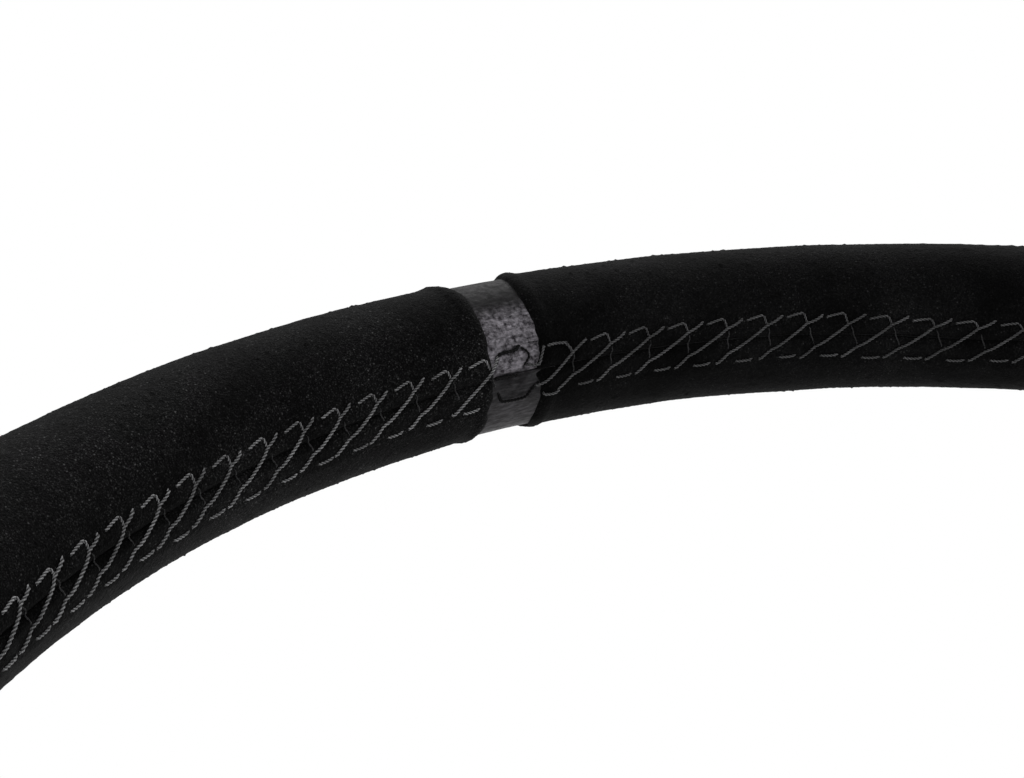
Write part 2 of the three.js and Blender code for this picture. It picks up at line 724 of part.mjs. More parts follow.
// The cone that a screw's head fills, grown by a gap where asked.
function headCone(index, grow, rise) {
  const small = BOLT_RADIUS + grow;
  const large = BOLT_HEAD_RADIUS + grow;
  const rear = bezelFront - RUN_GAP - BOLT_HEAD_DEPTH;
  const geometry = new THREE.CylinderGeometry(small, large, BOLT_HEAD_DEPTH, SMALL_STEPS);
  geometry.translate(boltRadius, -(rear + BOLT_HEAD_DEPTH / 2), 0);
  const cone = solid(around(geometry, boltAngle(index)));
  if (!rise) return cone;
  const front = rear + BOLT_HEAD_DEPTH;
  return cone.add(pin(large, front - 0.01, front + rise, boltRadius, boltAngle(index)));
}
const countersink = (index) => headCone(index, FIT_GAP, 1);

function screw(index) {
  const headFront = bezelFront - RUN_GAP;
  const shank = pin(BOLT_RADIUS, flangeRear + 1, headFront - BOLT_HEAD_DEPTH / 2, boltRadius, boltAngle(index));
  const socket = pin(
    BOLT_SOCKET_RADIUS,
    headFront - BOLT_SOCKET_DEPTH,
    headFront + 1,
    boltRadius,
    boltAngle(index),
    6,
  );
  return shank.add(headCone(index, 0, 0)).subtract(socket);
}

function housing() {
  const cup = turned([
    [CONTACT_INNER - 6, housingRear],
    [housingOuter, housingRear],
    [housingOuter, bezelRear],
    [housingOuter + HOUSING_FLANGE, bezelRear],
    [housingOuter + HOUSING_FLANGE, bezelRear + HOUSING_FLANGE_THICKNESS],
    [housingOuter, bezelRear + HOUSING_FLANGE_THICKNESS],
    [housingOuter, housingFront],
    [HORN_CAP_RADIUS + 2 * RUN_GAP, housingFront],
    [HORN_CAP_RADIUS + 2 * RUN_GAP, housingLipRear],
    [housingInner, housingLipRear],
    [housingInner, floorFront],
    [CONTACT_INNER - 6, floorFront],
  ]);
  return cup.subtract(terminalBox(0, FIT_GAP)).subtract(terminalBox(1, FIT_GAP));
}

// A spade terminal through the housing's floor. The first feeds the fixed contact, the second the spring.
const terminalOffset = [CONTACT_INNER + TERMINAL_THICKNESS, -(CONTACT_INNER - 2)];
function terminalBox(index, grow) {
  const length = TERMINAL_LENGTH + 2 * grow;
  const geometry = new THREE.BoxGeometry(
    TERMINAL_THICKNESS + 2 * grow,
    length,
    TERMINAL_WIDTH + 2 * grow,
  );
  const front = fixedContactRear - FIT_GAP / 2;
  return solid(geometry.translate(terminalOffset[index], -(front - TERMINAL_LENGTH / 2), 0));
}

function hornCap() {
  const inner = HORN_CAP_RADIUS - HORN_CAP_WALL;
  const ceiling = capEdge - HORN_CAP_WALL;
  const DOME_STEPS = 5;
  const dome = [];
  for (let i = 0; i < DOME_STEPS; i++) {
    const share = i / DOME_STEPS;
    dome.push([HORN_CAP_RADIUS * Math.cos((Math.PI / 2) * share), capEdge + HORN_DOME * Math.sin((Math.PI / 2) * share)]);
  }
  const profile = [
    [0, ceiling],
    [inner, ceiling],
    [inner, capRear],
    [HORN_CAP_RADIUS + HORN_CAP_FLANGE, capRear],
    [HORN_CAP_RADIUS + HORN_CAP_FLANGE, capFlangeFront],
    [HORN_CAP_RADIUS, capFlangeFront],
    ...dome,
    [0, capEdge + HORN_DOME],
  ];
  const points = profile.map(([radius, along]) => new THREE.Vector2(radius, -along));
  if (THREE.ShapeUtils.area(points) < 0) points.reverse();
  return solid(new THREE.LatheGeometry(points, TURNED_STEPS));
}

add("horn_bezel", bezel(), materials.anodised);
for (let i = 0; i < BOLT_COUNT; i++) add(`wheel_screw_${i + 1}`, screw(i), materials.blackSteel);
add("horn_housing", housing(), materials.plastic);
add("horn_button", hornCap(), materials.plastic);
add(
  "horn_fixed_contact",
  tube(CONTACT_INNER, CONTACT_OUTER, fixedContactRear, fixedContactFront, 24),
  materials.brass,
);
add(
  "horn_moving_contact",
  tube(
    CONTACT_INNER,
    housingInner - 2 * FIT_GAP,
    movingContactRear,
    movingContactRear + CONTACT_THICKNESS,
    24,
  ),
  materials.brass,
);
add(
  "horn_spring",
  spring(
    HORN_SPRING_RADIUS,
    HORN_SPRING_TURNS,
    HORN_SPRING_WIRE,
    floorFront + FIT_GAP,
    capEdge - HORN_CAP_WALL - FIT_GAP,
    9,
  ),
  materials.springSteel,
);
["horn_terminal_live", "horn_terminal_return"].forEach((name, i) =>
  add(name, terminalBox(i, 0), materials.brass),
);

export default part;
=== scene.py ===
# Looks of a 350 mm suede racing wheel on a ball-lock quick release.
#
# Sizes are in millimetres and become metres in mesh_object(). Materials and lights are in metres.
# The steering axis is Y, the driver is on the -Y side, and "along" is the distance from the spindle's rear
# end face towards the driver, so y = -along. Round the axis, theta is counted from +X towards +Z.
# Round the grip, phi is 0 on its outermost line, 180 on its innermost one and 270 on the driver's side.
import math

import bmesh
import bpy
import numpy as np
from mathutils import Matrix, Vector, geometry, noise


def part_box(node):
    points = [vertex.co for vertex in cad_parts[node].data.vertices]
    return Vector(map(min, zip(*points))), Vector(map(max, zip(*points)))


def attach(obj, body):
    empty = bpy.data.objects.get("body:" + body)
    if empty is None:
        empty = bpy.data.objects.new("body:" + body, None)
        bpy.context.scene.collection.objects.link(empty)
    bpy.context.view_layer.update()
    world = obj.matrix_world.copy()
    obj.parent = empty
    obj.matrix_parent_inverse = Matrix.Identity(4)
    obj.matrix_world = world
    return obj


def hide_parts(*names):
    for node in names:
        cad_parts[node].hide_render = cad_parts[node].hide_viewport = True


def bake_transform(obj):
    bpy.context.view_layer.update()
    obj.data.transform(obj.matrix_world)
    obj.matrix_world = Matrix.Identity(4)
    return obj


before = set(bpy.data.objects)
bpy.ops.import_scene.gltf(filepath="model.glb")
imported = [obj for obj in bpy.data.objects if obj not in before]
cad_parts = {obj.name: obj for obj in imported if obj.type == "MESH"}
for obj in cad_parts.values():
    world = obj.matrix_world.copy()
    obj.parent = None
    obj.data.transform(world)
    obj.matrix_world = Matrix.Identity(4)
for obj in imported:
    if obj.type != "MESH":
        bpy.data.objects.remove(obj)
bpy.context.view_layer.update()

SEED = 7
random = np.random.default_rng(SEED)


# ---------------------------------------------------------------- sizes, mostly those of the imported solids
def extent(name):
    """A node's rear and front along the axis, and its greatest distance from it."""
    low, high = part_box(name)
    return round(-1000 * high[1], 2), round(-1000 * low[1], 2), round(1000 * high[2], 2)


def thickness(name):
    rear, front, _ = extent(name)
    return round(front - rear, 2)


GRIP = thickness("cover_lower_left") / 2
FOAM = thickness("rim_foam") / 2
PLANE = extent("rim_foam")[0] + FOAM  # of the rim, along the axis
RIM = round(extent("rim_foam")[2] - FOAM, 2)  # of the grip's centre line
SPOKES = (0.0, 180.0, 270.0)
PLATE_HALF = 2.0
PLATE_MIDDLE = extent("spoke_armature")[0] + PLATE_HALF
PLATE_RADIUS = 45.0
DISH = PLANE - PLATE_MIDDLE
BEND = (53.0, 138.0)  # from the axis: where a spoke starts to bend forward, and where it is straight again
BEZEL_REAR, HOUSING_FRONT, BEZEL_RADIUS = extent("horn_bezel")
BEZEL_FRONT = BEZEL_REAR + 4.0
HOUSING_REAR = extent("horn_housing")[0]
HOUSING_BORE = 24.5
BOLT_CIRCLE = 35.0
BOLT_HOLE = 2.8
BOLTS = [30.0 + 60.0 * i for i in range(6)]
HUB_REAR, FLANGE_FRONT, FLANGE = extent("release_hub")
FLANGE_REAR = FLANGE_FRONT - 7.0
BALL_REAR, BALL_FRONT, BALL = extent("lock_ball_1")
BALL_PLANE = round((BALL_REAR + BALL_FRONT) / 2, 2)
BALL_FREE = 17.7  # from the axis, with the collar pulled back
BALL_POCKET = 3.7
JOURNAL, SPLINE_MINOR, SPLINE_MAJOR = 14.0, 14.4, 15.8
NOSE = extent("spindle")[1]
GRUB_PLANE = 11.0
GRUBS = [90.0 + 120.0 * i for i in range(3)]


# ---------------------------------------------------------------- meshes
def mesh_object(name, points, faces, angle=None, outwards=True):
    """A mesh object from points in millimetres. Edges sharper than the angle stay sharp."""
    mesh = bpy.data.meshes.new(name)
    points = np.asarray(points, float) / 1000
    mesh.from_pydata(points.tolist(), [], [list(map(int, face)) for face in faces])
    mesh.validate()
    mesh.update()
    mesh.polygons.foreach_set("use_smooth", [True] * len(mesh.polygons))
    if outwards:
        work = bmesh.new()
        work.from_mesh(mesh)
        bmesh.ops.recalc_face_normals(work, faces=work.faces[:])
        work.to_mesh(mesh)
        work.free()
    if angle:
        mesh.set_sharp_from_angle(angle=math.radians(angle))
    obj = bpy.data.objects.new(name, mesh)
    bpy.context.scene.collection.objects.link(obj)
    return obj


def finish_piece(obj, body, slot, material, *nodes):
    obj.data.materials.clear()
    obj.data.materials.append(material)
    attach(obj, body)
    if nodes:
        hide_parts(*nodes)
    return obj


def grid_faces(rows, columns, closed_rows=False, closed_columns=False):
    r = np.arange(rows if closed_rows else rows - 1)
    c = np.arange(columns if closed_columns else columns - 1)
    i, j = np.meshgrid(r, c, indexing="ij")
    i2, j2 = (i + 1) % rows, (j + 1) % columns
    quads = np.stack([i * columns + j, i * columns + j2, i2 * columns + j2, i2 * columns + j], -1)
    return quads.reshape(-1, 4)


def tube_faces(rows, around):
    """The faces of a tube that is closed at both ends, from rows of points round it."""
    ends = [list(range(around - 1, -1, -1)), list(range((rows - 1) * around, rows * around))]
    return grid_faces(rows, around, False, True).tolist() + ends


def rounded(profile, radius=0.35, cuts=3):
    """A closed profile with its corners rounded, as far as its edges allow."""
    result = []
    count = len(profile)
    for i in range(count):
        p, q, r = (np.array(profile[(i + k) % count], float) for k in (-1, 0, 1))
        a, b = p - q, r - q
        la, lb = np.linalg.norm(a), np.linalg.norm(b)
        a, b = a / la, b / lb
        angle = math.acos(np.clip(a @ b, -1, 1))
        if angle > math.radians(165):
            result.append(q)
            continue
        reach = min(radius / math.tan(angle / 2), 0.45 * la, 0.45 * lb)
        start, end = q + a * reach, q + b * reach
        for k in range(cuts + 1):
            t = k / cuts
            result.append((1 - t) ** 2 * start + 2 * t * (1 - t) * q + t * t * end)
    return np.array(result)


def turned(profile, steps):
    """The points of a profile of [radius, along] at each of some steps round the steering axis."""
    theta = np.linspace(0, 2 * math.pi, steps, endpoint=False)
    x, z = np.outer(np.cos(theta), profile[:, 0]), np.outer(np.sin(theta), profile[:, 0])
    return np.stack([x, np.outer(np.ones(steps), -profile[:, 1]), z], -1).reshape(-1, 3)


def spin(name, profile, steps=128, angle=35):
    """A closed profile of [radius, along] turned about the steering axis."""
    profile = np.asarray(profile, float)
    following = np.roll(profile, -1, axis=0)
    if np.sum(profile[:, 0] * following[:, 1] - following[:, 0] * profile[:, 1]) < 0:
        profile = profile[::-1]
    faces = grid_faces(steps, len(profile), True, True)[:, ::-1]
    return mesh_object(name, turned(profile, steps), faces, angle, False)


def spin_capped(name, profile, steps=128, angle=35):
    """An open profile of [radius, along] that starts and ends on the axis, turned about it."""
    profile = np.asarray(profile, float)
    count = len(profile) - 2
    points = np.vstack([turned(profile[1:-1], steps), [[0, -profile[0][1], 0], [0, -profile[-1][1], 0]]])
    first, last = len(points) - 2, len(points) - 1
    caps = []
    for i in range(steps):
        j = (i + 1) % steps
        caps.append((first, i * count, j * count))
        caps.append((last, j * count + count - 1, i * count + count - 1))
    faces = grid_faces(steps, count, True)[:, ::-1].tolist() + caps
    return mesh_object(name, points, faces, angle)


def polar(radius, degrees):
    return radius * math.cos(math.radians(degrees)), radius * math.sin(math.radians(degrees))


def arc(radius, start, end, count, centre=(0.0, 0.0)):
    """Points of an arc from start to end degrees, both included."""
    turn = np.radians(np.linspace(start, end, count))
    return np.stack([centre[0] + radius * np.cos(turn), centre[1] + radius * np.sin(turn)], -1)


def circle(radius, count, centre=(0.0, 0.0)):
    return arc(radius, 0, 360, count + 1, centre)[:-1]


def prism(outline, rear, front):
    """Points and faces of a plate whose outline is [x, z] points, from rear to front along the axis."""
    points = [[x, -along, z] for along in (rear, front) for x, z in outline]
    return points, tube_faces(2, len(outline))


def block(x0, x1, rear, front, z0, z1):
    return prism([(x0, z0), (x1, z0), (x1, z1), (x0, z1)], rear, front)


def on_radial_line(points, along, degrees):
    """Points of [distance from the axis, u, v] on a line that leaves the axis at a right angle."""
    distance, u, v = np.asarray(points, float).T
    c, s = polar(1, degrees)
    return np.stack([distance * c - v * s, u - along, distance * s + v * c], -1)


def radial_rod(radius, near, far, along, degrees, steps=36):
    points = [(distance, u, v) for distance in (near, far) for u, v in circle(radius, steps)]
    return on_radial_line(points, along, degrees), tube_faces(2, steps)


def socket_screw(rings, recess, steps):
    """A screw's points of [u, v, place along it] and faces, from rings of (radius, place).

    The recess is a hexagon of [half its width across flats, its mouth's place, its floor's place].
    """
    turn = np.linspace(0, 2 * math.pi, steps, endpoint=False)
    wedge = (turn + math.pi / 6) % (math.pi / 3) - math.pi / 6
    half, *places = recess
    rings = [(radius, place) for radius, place in rings] + [(half / np.cos(wedge), place) for place in places]
    rows = [np.stack([r * np.cos(turn), r * np.sin(turn), np.full(steps, place)], -1) for r, place in rings]
    return np.vstack(rows), tube_faces(len(rings), steps)


def joined(name, solids, angle=35):
    """One object from several [points, faces] solids."""
    points, faces, base = [], [], 0
    for some, more in solids:
        points.append(np.asarray(some, float))
        faces += [[base + k for k in face] for face in more]
        base += len(some)
    return mesh_object(name, np.vstack(points), faces, angle)


def merge(obj, other, operation, angle=35):
    """Cuts one closed mesh with another, or joins them, and removes the other."""
    name = obj.name
    change = obj.modifiers.new("cut", "BOOLEAN")
    change.object, change.operation, change.solver = other, operation, "MANIFOLD"
    graph = bpy.context.evaluated_depsgraph_get()
    mesh = bpy.data.meshes.new_from_object(obj.evaluated_get(graph))
    obj.modifiers.clear()
    obj.data = mesh
    obj.data.name = name
    bpy.data.objects.remove(other, do_unlink=True)
    mesh.polygons.foreach_set("use_smooth", [True] * len(mesh.polygons))
    mesh.set_sharp_from_angle(angle=math.radians(angle))


def carve(obj, solids):
    merge(obj, joined("cutter", solids), "DIFFERENCE")


def along_curve(centres, normals, radius, sides, lobes=0, lobe_depth=0.0, twist=0.0):
    """A tube's points, faces and crown along a curve. Its lobed section twists like the plies of a thread.

    The crown is 1 on top of a ply and 0 in the crease between two.
    """
    centres, normals = np.asarray(centres, float), np.asarray(normals, float)
    tangent = np.gradient(centres, axis=0)
    tangent /= np.linalg.norm(tangent, axis=1)[:, None]
    normals = normals - (normals * tangent).sum(1)[:, None] * tangent
    normals /= np.linalg.norm(normals, axis=1)[:, None]
    side = np.cross(tangent, normals)
    step = np.linalg.norm(np.diff(centres, axis=0), axis=1)
    run = np.concatenate([[0], np.cumsum(step)])
    around = np.linspace(0, 2 * math.pi, sides, endpoint=False)
    turn = around[None, :] + (twist * run)[:, None]
    width = (radius * (1 + lobe_depth * np.cos(lobes * around)))[None, :]
    points = (
        centres[:, None, :]
        + (width * np.cos(turn))[..., None] * normals[:, None, :]
        + (width * np.sin(turn))[..., None] * side[:, None, :]
    )
    crown = np.tile(0.5 + 0.5 * np.cos(lobes * around), len(centres))
    return points.reshape(-1, 3), tube_faces(len(centres), sides), crown


def tube_object(name, tubes):
    """One object from tubes made by along_curve(), with their crown as a point attribute."""
    obj = joined(name, [tube[:2] for tube in tubes], None)
    crown = obj.data.attributes.new("crown", "FLOAT", "POINT")
    crown.data.foreach_set("value", np.concatenate([tube[2] for tube in tubes]))
    return obj


# ---------------------------------------------------------------- materials
def add_node(tree, kind, **settings):
    made = tree.nodes.new(kind)
    for key, value in settings.items():
        if key in made.inputs:
            made.inputs[key].default_value = value
        else:
            setattr(made, key, value)
    return made


class Material:
    """A material in the making. Its methods add nodes, and return the output that carries their result."""

    def __init__(self, name, base, roughness, metallic=0.0, **sockets):
        self.data = bpy.data.materials.new(name)
        self.data.use_nodes = True
        self.tree = self.data.node_tree
        self.shader = self.tree.nodes["Principled BSDF"]
        sockets.update({"Base Color": (*base, 1), "Roughness": roughness, "Metallic": metallic})
        for key, value in sockets.items():
            self.shader.inputs[key.replace("_", " ")].default_value = value
        self.where = self.coordinates()

    def node(self, kind, **settings):
        return add_node(self.tree, kind, **settings)

    def put(self, value, socket):
        """Gives a socket an output to follow, or a colour or number of its own."""
        if isinstance(value, tuple):
            socket.default_value = (*value, 1)
        elif isinstance(value, (int, float)):
            socket.default_value = value
        else:
            self.tree.links.new(value, socket)

    def coordinates(self, scale=(1, 1, 1)):
        mapping = self.node("ShaderNodeMapping")
        mapping.inputs["Scale"].default_value = scale
        self.put(self.node("ShaderNodeTexCoord").outputs["Object"], mapping.inputs["Vector"])
        return mapping.outputs["Vector"]

    def axes(self):
        """The three coordinates, each on its own."""
        parts = self.node("ShaderNodeSeparateXYZ")
        self.put(self.where, parts.inputs[0])
        return parts.outputs[:]

    def noise(self, scale, detail=3.0, roughness=0.55, where=None):
        made = self.node("ShaderNodeTexNoise", Scale=scale, Detail=detail, Roughness=roughness)
        self.put(self.where if where is None else where, made.inputs["Vector"])
        return made.outputs["Fac"]

    def cells(self, scale, **settings):
        made = self.node("ShaderNodeTexVoronoi", Scale=scale, **settings)
        self.put(self.where, made.inputs["Vector"])
        return made.outputs

    def ramp(self, value, low, high, from_low=0.3, from_high=0.7):
        """Maps a value to between two colours or greys."""
        made = self.node("ShaderNodeValToRGB")
        made.color_ramp.elements[0].position = from_low
        made.color_ramp.elements[1].position = from_high
        for element, colour in zip(made.color_ramp.elements, (low, high)):
            element.color = (*colour, 1) if isinstance(colour, tuple) else (colour, colour, colour, 1)
        self.put(value, made.inputs["Fac"])
        return made.outputs["Color"]

    def math(self, operation, a, b=0.0):
        made = self.node("ShaderNodeMath", operation=operation)
        self.put(a, made.inputs[0])
        self.put(b, made.inputs[1])
        return made.outputs["Value"]

    def mix(self, factor, a, b, blend="MIX"):
        made = self.node("ShaderNodeMix", data_type="RGBA", blend_type=blend)
        for value, index in ((factor, 0), (a, 6), (b, 7)):
            self.put(value, made.inputs[index])
        return made.outputs[2]

    def shaded(self, colour, value, low, high, from_low=0.3, from_high=0.7):
        """A colour made darker or lighter by a value."""
        return self.mix(1.0, colour, self.ramp(value, low, high, from_low, from_high), "MULTIPLY")

    def dots(self, scale, share, size):
        """Round specks in a share of the cells of a random pattern: 1 in a speck and 0 away from it."""
        cells = self.cells(scale, Randomness=1.0)
        parts = self.node("ShaderNodeSeparateColor")
        self.put(cells["Color"], parts.inputs[0])
        chosen = self.ramp(parts.outputs[0], 0.0, 1.0, 1 - share, 1.0)
        near = self.ramp(cells["Distance"], 1.0, 0.0, size * 0.5, size)
        return self.math("MULTIPLY", chosen, near)

    def finish(self, colour, height, distance, strength, roughness=None):
        """Joins the colour, the bumps and the roughness to the shader. The distance is in metres."""
        made = self.node("ShaderNodeBump", Strength=strength, Distance=distance)
        self.put(height, made.inputs["Height"])
        self.put(made.outputs["Normal"], self.shader.inputs["Normal"])
        self.put(colour, self.shader.inputs["Base Color"])
        if roughness is not None:
            self.put(roughness, self.shader.inputs["Roughness"])
        return self.data


def suede_material(name, speck):
    """Black suede: a dead matt nap with fine light fibre ends, brushed lighter and darker in patches."""
    sheen = {"Sheen_Weight": 0.012, "Sheen_Roughness": 0.5, "Specular_IOR_Level": 0.04}
    suede = Material(name, (0.003, 0.003, 0.003), 0.95, **sheen)
    fibres = suede.noise(3000, 2.0, 0.7)
    nap = suede.ramp(fibres, (0.0006, 0.0006, 0.0007), (0.0048, 0.0048, 0.0049), 0.35, 0.72)
    brushed = suede.ramp(suede.noise(60, 4.0, 0.6), 0.35, 1.5, 0.35, 0.68)
    base = suede.mix(1.0, nap, brushed, "MULTIPLY")
    # The speck factor scales the fibre specks, and with them painted light: brighter on the lit left, dimmer
    # on the shaded right.
    fine = suede.math("MULTIPLY", suede.dots(3800, 0.6, 0.6), 0.02 * speck)
    bright = suede.math("MULTIPLY", suede.dots(2600, 0.09, 0.5), 0.05 * speck)
    specks = suede.math("MULTIPLY", suede.math("ADD", fine, bright), brushed)
    height = suede.math("ADD", fibres, suede.math("MULTIPLY", suede.noise(1500, 2.0), 0.8))
    return suede.finish(suede.mix(1.0, base, specks, "ADD"), height, 0.00022, 0.8)


def leather_material():
    """Dark grey leather: pebbled on the driver's side of its seam, rubbed smooth further round."""
    leather = Material("marker_leather", (0.03, 0.03, 0.032), 0.75, Specular_IOR_Level=0.05)
    along = leather.axes()[1]

    def behind(place, soft):
        """1 behind a place along the axis and 0 in front of it. Places are counted from the rim's plane."""
        made = leather.node("ShaderNodeMapRange", interpolation_type="SMOOTHSTEP")
        made.inputs["From Min"].default_value = -(PLANE + place) / 1000 - soft
        made.inputs["From Max"].default_value = -(PLANE + place) / 1000 + soft
        leather.put(along, made.inputs["Value"])
        return made.outputs[0]

    def band(front, rear, soft=0.0015):
        """1 between two places along the axis."""
        return leather.math("SUBTRACT", behind(front, soft), behind(rear, soft))

    mottle = leather.noise(900, 3.0, 0.65)
    large = leather.noise(330, 3.0, 0.6)
    streaks = leather.noise(2200, 3.0, 0.65, leather.coordinates((0.22, 1, 1)))
    pebbles = leather.cells(1250.0, feature="SMOOTH_F1", Smoothness=0.6)["Distance"]
    smooth = leather.ramp(large, (0.032, 0.031, 0.032), (0.052, 0.05, 0.053))
    outer = leather.ramp(large, (0.008, 0.0075, 0.008), (0.015, 0.0145, 0.0152))
    spots = leather.ramp(mottle, (0.022, 0.02, 0.023), (0.27, 0.255, 0.28), 0.36, 0.76)
    # painted shade: the band just behind the seam is painted darker
    shade = leather.ramp(large, (0.014, 0.0135, 0.0145), (0.044, 0.043, 0.045), 0.35, 0.7)
    colour = leather.mix(band(20.0, 9.0, 0.002), smooth, outer)
    colour = leather.mix(band(11.3, 1.3), colour, spots)
    colour = leather.mix(band(1.3, -3.6, 0.0008), colour, shade)
    colour = leather.shaded(colour, streaks, 0.55, 1.5, 0.34, 0.68)
    height = leather.math("ADD", leather.math("MULTIPLY", pebbles, -0.8), leather.noise(4200, 2.0))
    return leather.finish(colour, height, 0.00008, 0.5, leather.ramp(mottle, 0.78, 0.6))


def thread_material(name, low, high, gloss=0.35):
    """Waxed twisted thread, with painted highlights on the crowns of its plies and painted shade in the
    creases between them.
    """
    thread = Material(name, high, 0.5, Specular_IOR_Level=gloss)
    fuzz = thread.noise(4200, 2.0)
    crown = thread.node("ShaderNodeAttribute", attribute_name="crown").outputs["Fac"]
    # Painted highlights on the crowns of the plies and painted shade in the creases between them.
    ply = thread.shaded(thread.ramp(crown, low, high, 0.25, 0.85), fuzz, 0.6, 1.3, 0.32, 0.68)
    return thread.finish(thread.shaded(ply, thread.noise(200), 0.5, 1.4), fuzz, 0.00006, 0.7)


def coated_metal(name, base, roughness, wear=0.08):
    """Anodised or blackened metal with a fine blasted grain and slightly rubbed edges."""
    coat = Material(name, base, roughness, 0.75, Specular_IOR_Level=0.5)
    cloud = coat.noise(45)
    pointed = coat.node("ShaderNodeNewGeometry").outputs["Pointiness"]
    edges = coat.ramp(pointed, 0.0, 1.0, 0.52, 0.6)
    scuffs = coat.ramp(coat.noise(700, 4.0), 0.0, 1.0, 0.5, 0.7)
    worn = coat.math("MULTIPLY", coat.math("MULTIPLY", edges, scuffs), wear * 2)
    bare = tuple(min(1.0, c * 6 + 0.08) for c in base)
    colour = coat.mix(worn, coat.shaded(base, cloud, 0.8, 1.2), bare)
    rough = coat.ramp(cloud, roughness - 0.06, roughness + 0.08)
    return coat.finish(colour, coat.noise(2600.0), 0.00002, 0.5, rough)


def turned_metal(name, base, roughness, rings=1500.0, depth=0.00001):
    """Bare metal off the lathe, with fine rings about the steering axis."""
    metal = Material(name, base, roughness, 1.0)
    x, y, z = metal.axes()
    squares = metal.math("ADD", metal.math("MULTIPLY", x, x), metal.math("MULTIPLY", z, z))
    radius = metal.math("SQRT", squares)
    place = metal.node("ShaderNodeCombineXYZ")
    metal.put(metal.math("ADD", radius, y), place.inputs[0])
    metal.put(metal.math("SUBTRACT", radius, y), place.inputs[1])
    tool = metal.noise(rings * 2, 1.0, 0.5, place.outputs[0])
    cloud = metal.noise(60)
    colour = metal.shaded(metal.shaded(base, cloud, 0.85, 1.12), tool, 0.85, 1.1)
    return metal.finish(colour, tool, depth, 0.3, metal.ramp(cloud, roughness - 0.05, roughness + 0.1))


def grained(name, base, roughness, scale=900.0, depth=0.00004):
    """Moulded plastic, foam or rubber with an even grain."""
    skin = Material(name, base, roughness)
    grain = skin.cells(scale, feature="SMOOTH_F1", Smoothness=0.6)["Distance"]
    cloud = skin.noise(90)
    rough = skin.ramp(cloud, roughness - 0.07, roughness + 0.07)
    return skin.finish(skin.shaded(base, cloud, 0.75, 1.25), grain, depth, 0.5, rough)


SUEDE = suede_material("suede", 1.0)  # lit copy: its fibre specks are painted brighter on the left, where the light falls (painted light)
SHADED_SUEDE = suede_material("suede_painted_shade", 0.45)  # shaded copy: its fibre specks are painted dimmer on the right, which lies in shade (painted shade)
LEATHER = leather_material()
# The left seam thread carries bright painted highlights; its copy for the shaded right is painted darker, as
# painted shade.
THREAD = thread_material("seam_thread", (0.02, 0.02, 0.021), (0.26, 0.26, 0.265))
SHADED_THREAD = thread_material("seam_thread_painted_shade", (0.012, 0.012, 0.013), (0.095, 0.095, 0.097))
DARK_THREAD = thread_material("return_thread", (0.008, 0.008, 0.009), (0.03, 0.03, 0.031))
BLACK_THREAD = thread_material("marker_thread", (0.001, 0.001, 0.001), (0.006, 0.006, 0.0065), 0.08)
FOAM_SKIN = grained("rim_foam", (0.012, 0.012, 0.013), 0.85, 1400)
ANODISED = coated_metal("black_anodised", (0.018, 0.018, 0.02), 0.38)
BLACK_STEEL = coated_metal("black_screw_steel", (0.02, 0.02, 0.021), 0.34, 0.1)
ALLOY = turned_metal("hub_alloy", (0.55, 0.56, 0.58), 0.3)
STEEL = turned_metal("spindle_steel", (0.42, 0.42, 0.43), 0.26, 700)
BALL_STEEL = turned_metal("ball_steel", (0.6, 0.6, 0.62), 0.1, 900, 0.000002)
SPRING_STEEL = coated_metal("spring_steel", (0.3, 0.31, 0.33), 0.3, 0.02)
BRASS = turned_metal("contact_brass", (0.72, 0.5, 0.2), 0.3)
PLASTIC = grained("black_plastic", (0.014, 0.014, 0.015), 0.5, 1500)
BUTTON = grained("button_plastic", (0.016, 0.016, 0.017), 0.42, 1900, 0.00003)
RUBBER = grained("o_ring_rubber", (0.011, 0.011, 0.011), 0.6, 2500, 0.00001)


# ---------------------------------------------------------------- the grip's surface
TOP = 90.0  # theta of 12 o'clock, in the middle of the marker
SEAM = 185.0  # phi of the laced seam at the top: a little to the driver's side of the innermost line
MARKER_HALF = 1.84  # degrees, to the suede's edges
MARKER_RADIUS = 13.78
FIRST_RIGHT, FIRST_LEFT = 88.6, 92.4  # the stitches nearest the marker
PITCH = 3.12  # degrees between stitches
WIDE_PITCH, WIDE_FROM = 3.24, 67  # further down on the right they are wider apart
UNIT = 8.0  # the length of a stitch where its points are given along the seam
TIP_ACROSS = 2.35  # from the seam's middle to the V tips
GAP, GAP_HALF = 0.35, 9.6  # degrees of phi: half the seam's opening, and what a spoke adds to it
# The hand-stitched seam runs near the innermost line, and is drawn towards the driver round the top.
SEAM_AWAY = -1.35  # millimetres from SEAM towards the driver, away from the top
SEAM_PULL = 1.65
PULL_RIGHT = (53, 69)  # between these angles the pull grows on the right
PULL_LEFT = (80, 118)  # and dies away on the left
# A lower V tip lies this far past its upper one, and less over two stretches:
# (middle, half width, power, drop).
SKEW = 1.7
STRAIGHTER = ((79.5, 11.0, 4, 1.9), (99.0, 3.2, 2, 0.85))
# How far the stitches and the leather's joint pull back the suede's cut edges over the marker:
# (place across the seam, pull, half width), in millimetres.
EDGE_SLACK = 0.2
LEFT_PULLS = ((-16, 0.5, 4.5), (-6.5, 1.2, 2.2), (5, 0.55, 2.0), (17, -0.7, 5))
RIGHT_PULLS = ((-18.5, 1.2, 3.5), (-0.5, -1.5, 2.4), (32, 2.2, 8.0))


def smoothstep(low, high, value):
    t = np.clip((value - low) / (high - low), 0, 1)
    return t * t * (3 - 2 * t)


def hump(value, middle, width):
    """1 at the middle, and close to 0 two widths away from it."""
    return np.exp(-(((value - middle) / width) ** 2))


def rolled(distance, width):
    """The drop of an edge that rolls under: 1 at the edge and 0 from the width inwards."""
    return 1 - np.sqrt(1 - np.clip(1 - distance / width, 0, 1) ** 2 * 0.999)


def skew_at(theta):
    theta = np.asarray(theta) % 360
    skew = SKEW
    for middle, half, power, drop in STRAIGHTER:
        skew = skew - drop * np.exp(-np.abs((theta - middle) / half) ** power)
    return skew


def edge_pull(pulls, across):
    return EDGE_SLACK + sum(pull * hump(across, place, width) for place, pull, width in pulls)


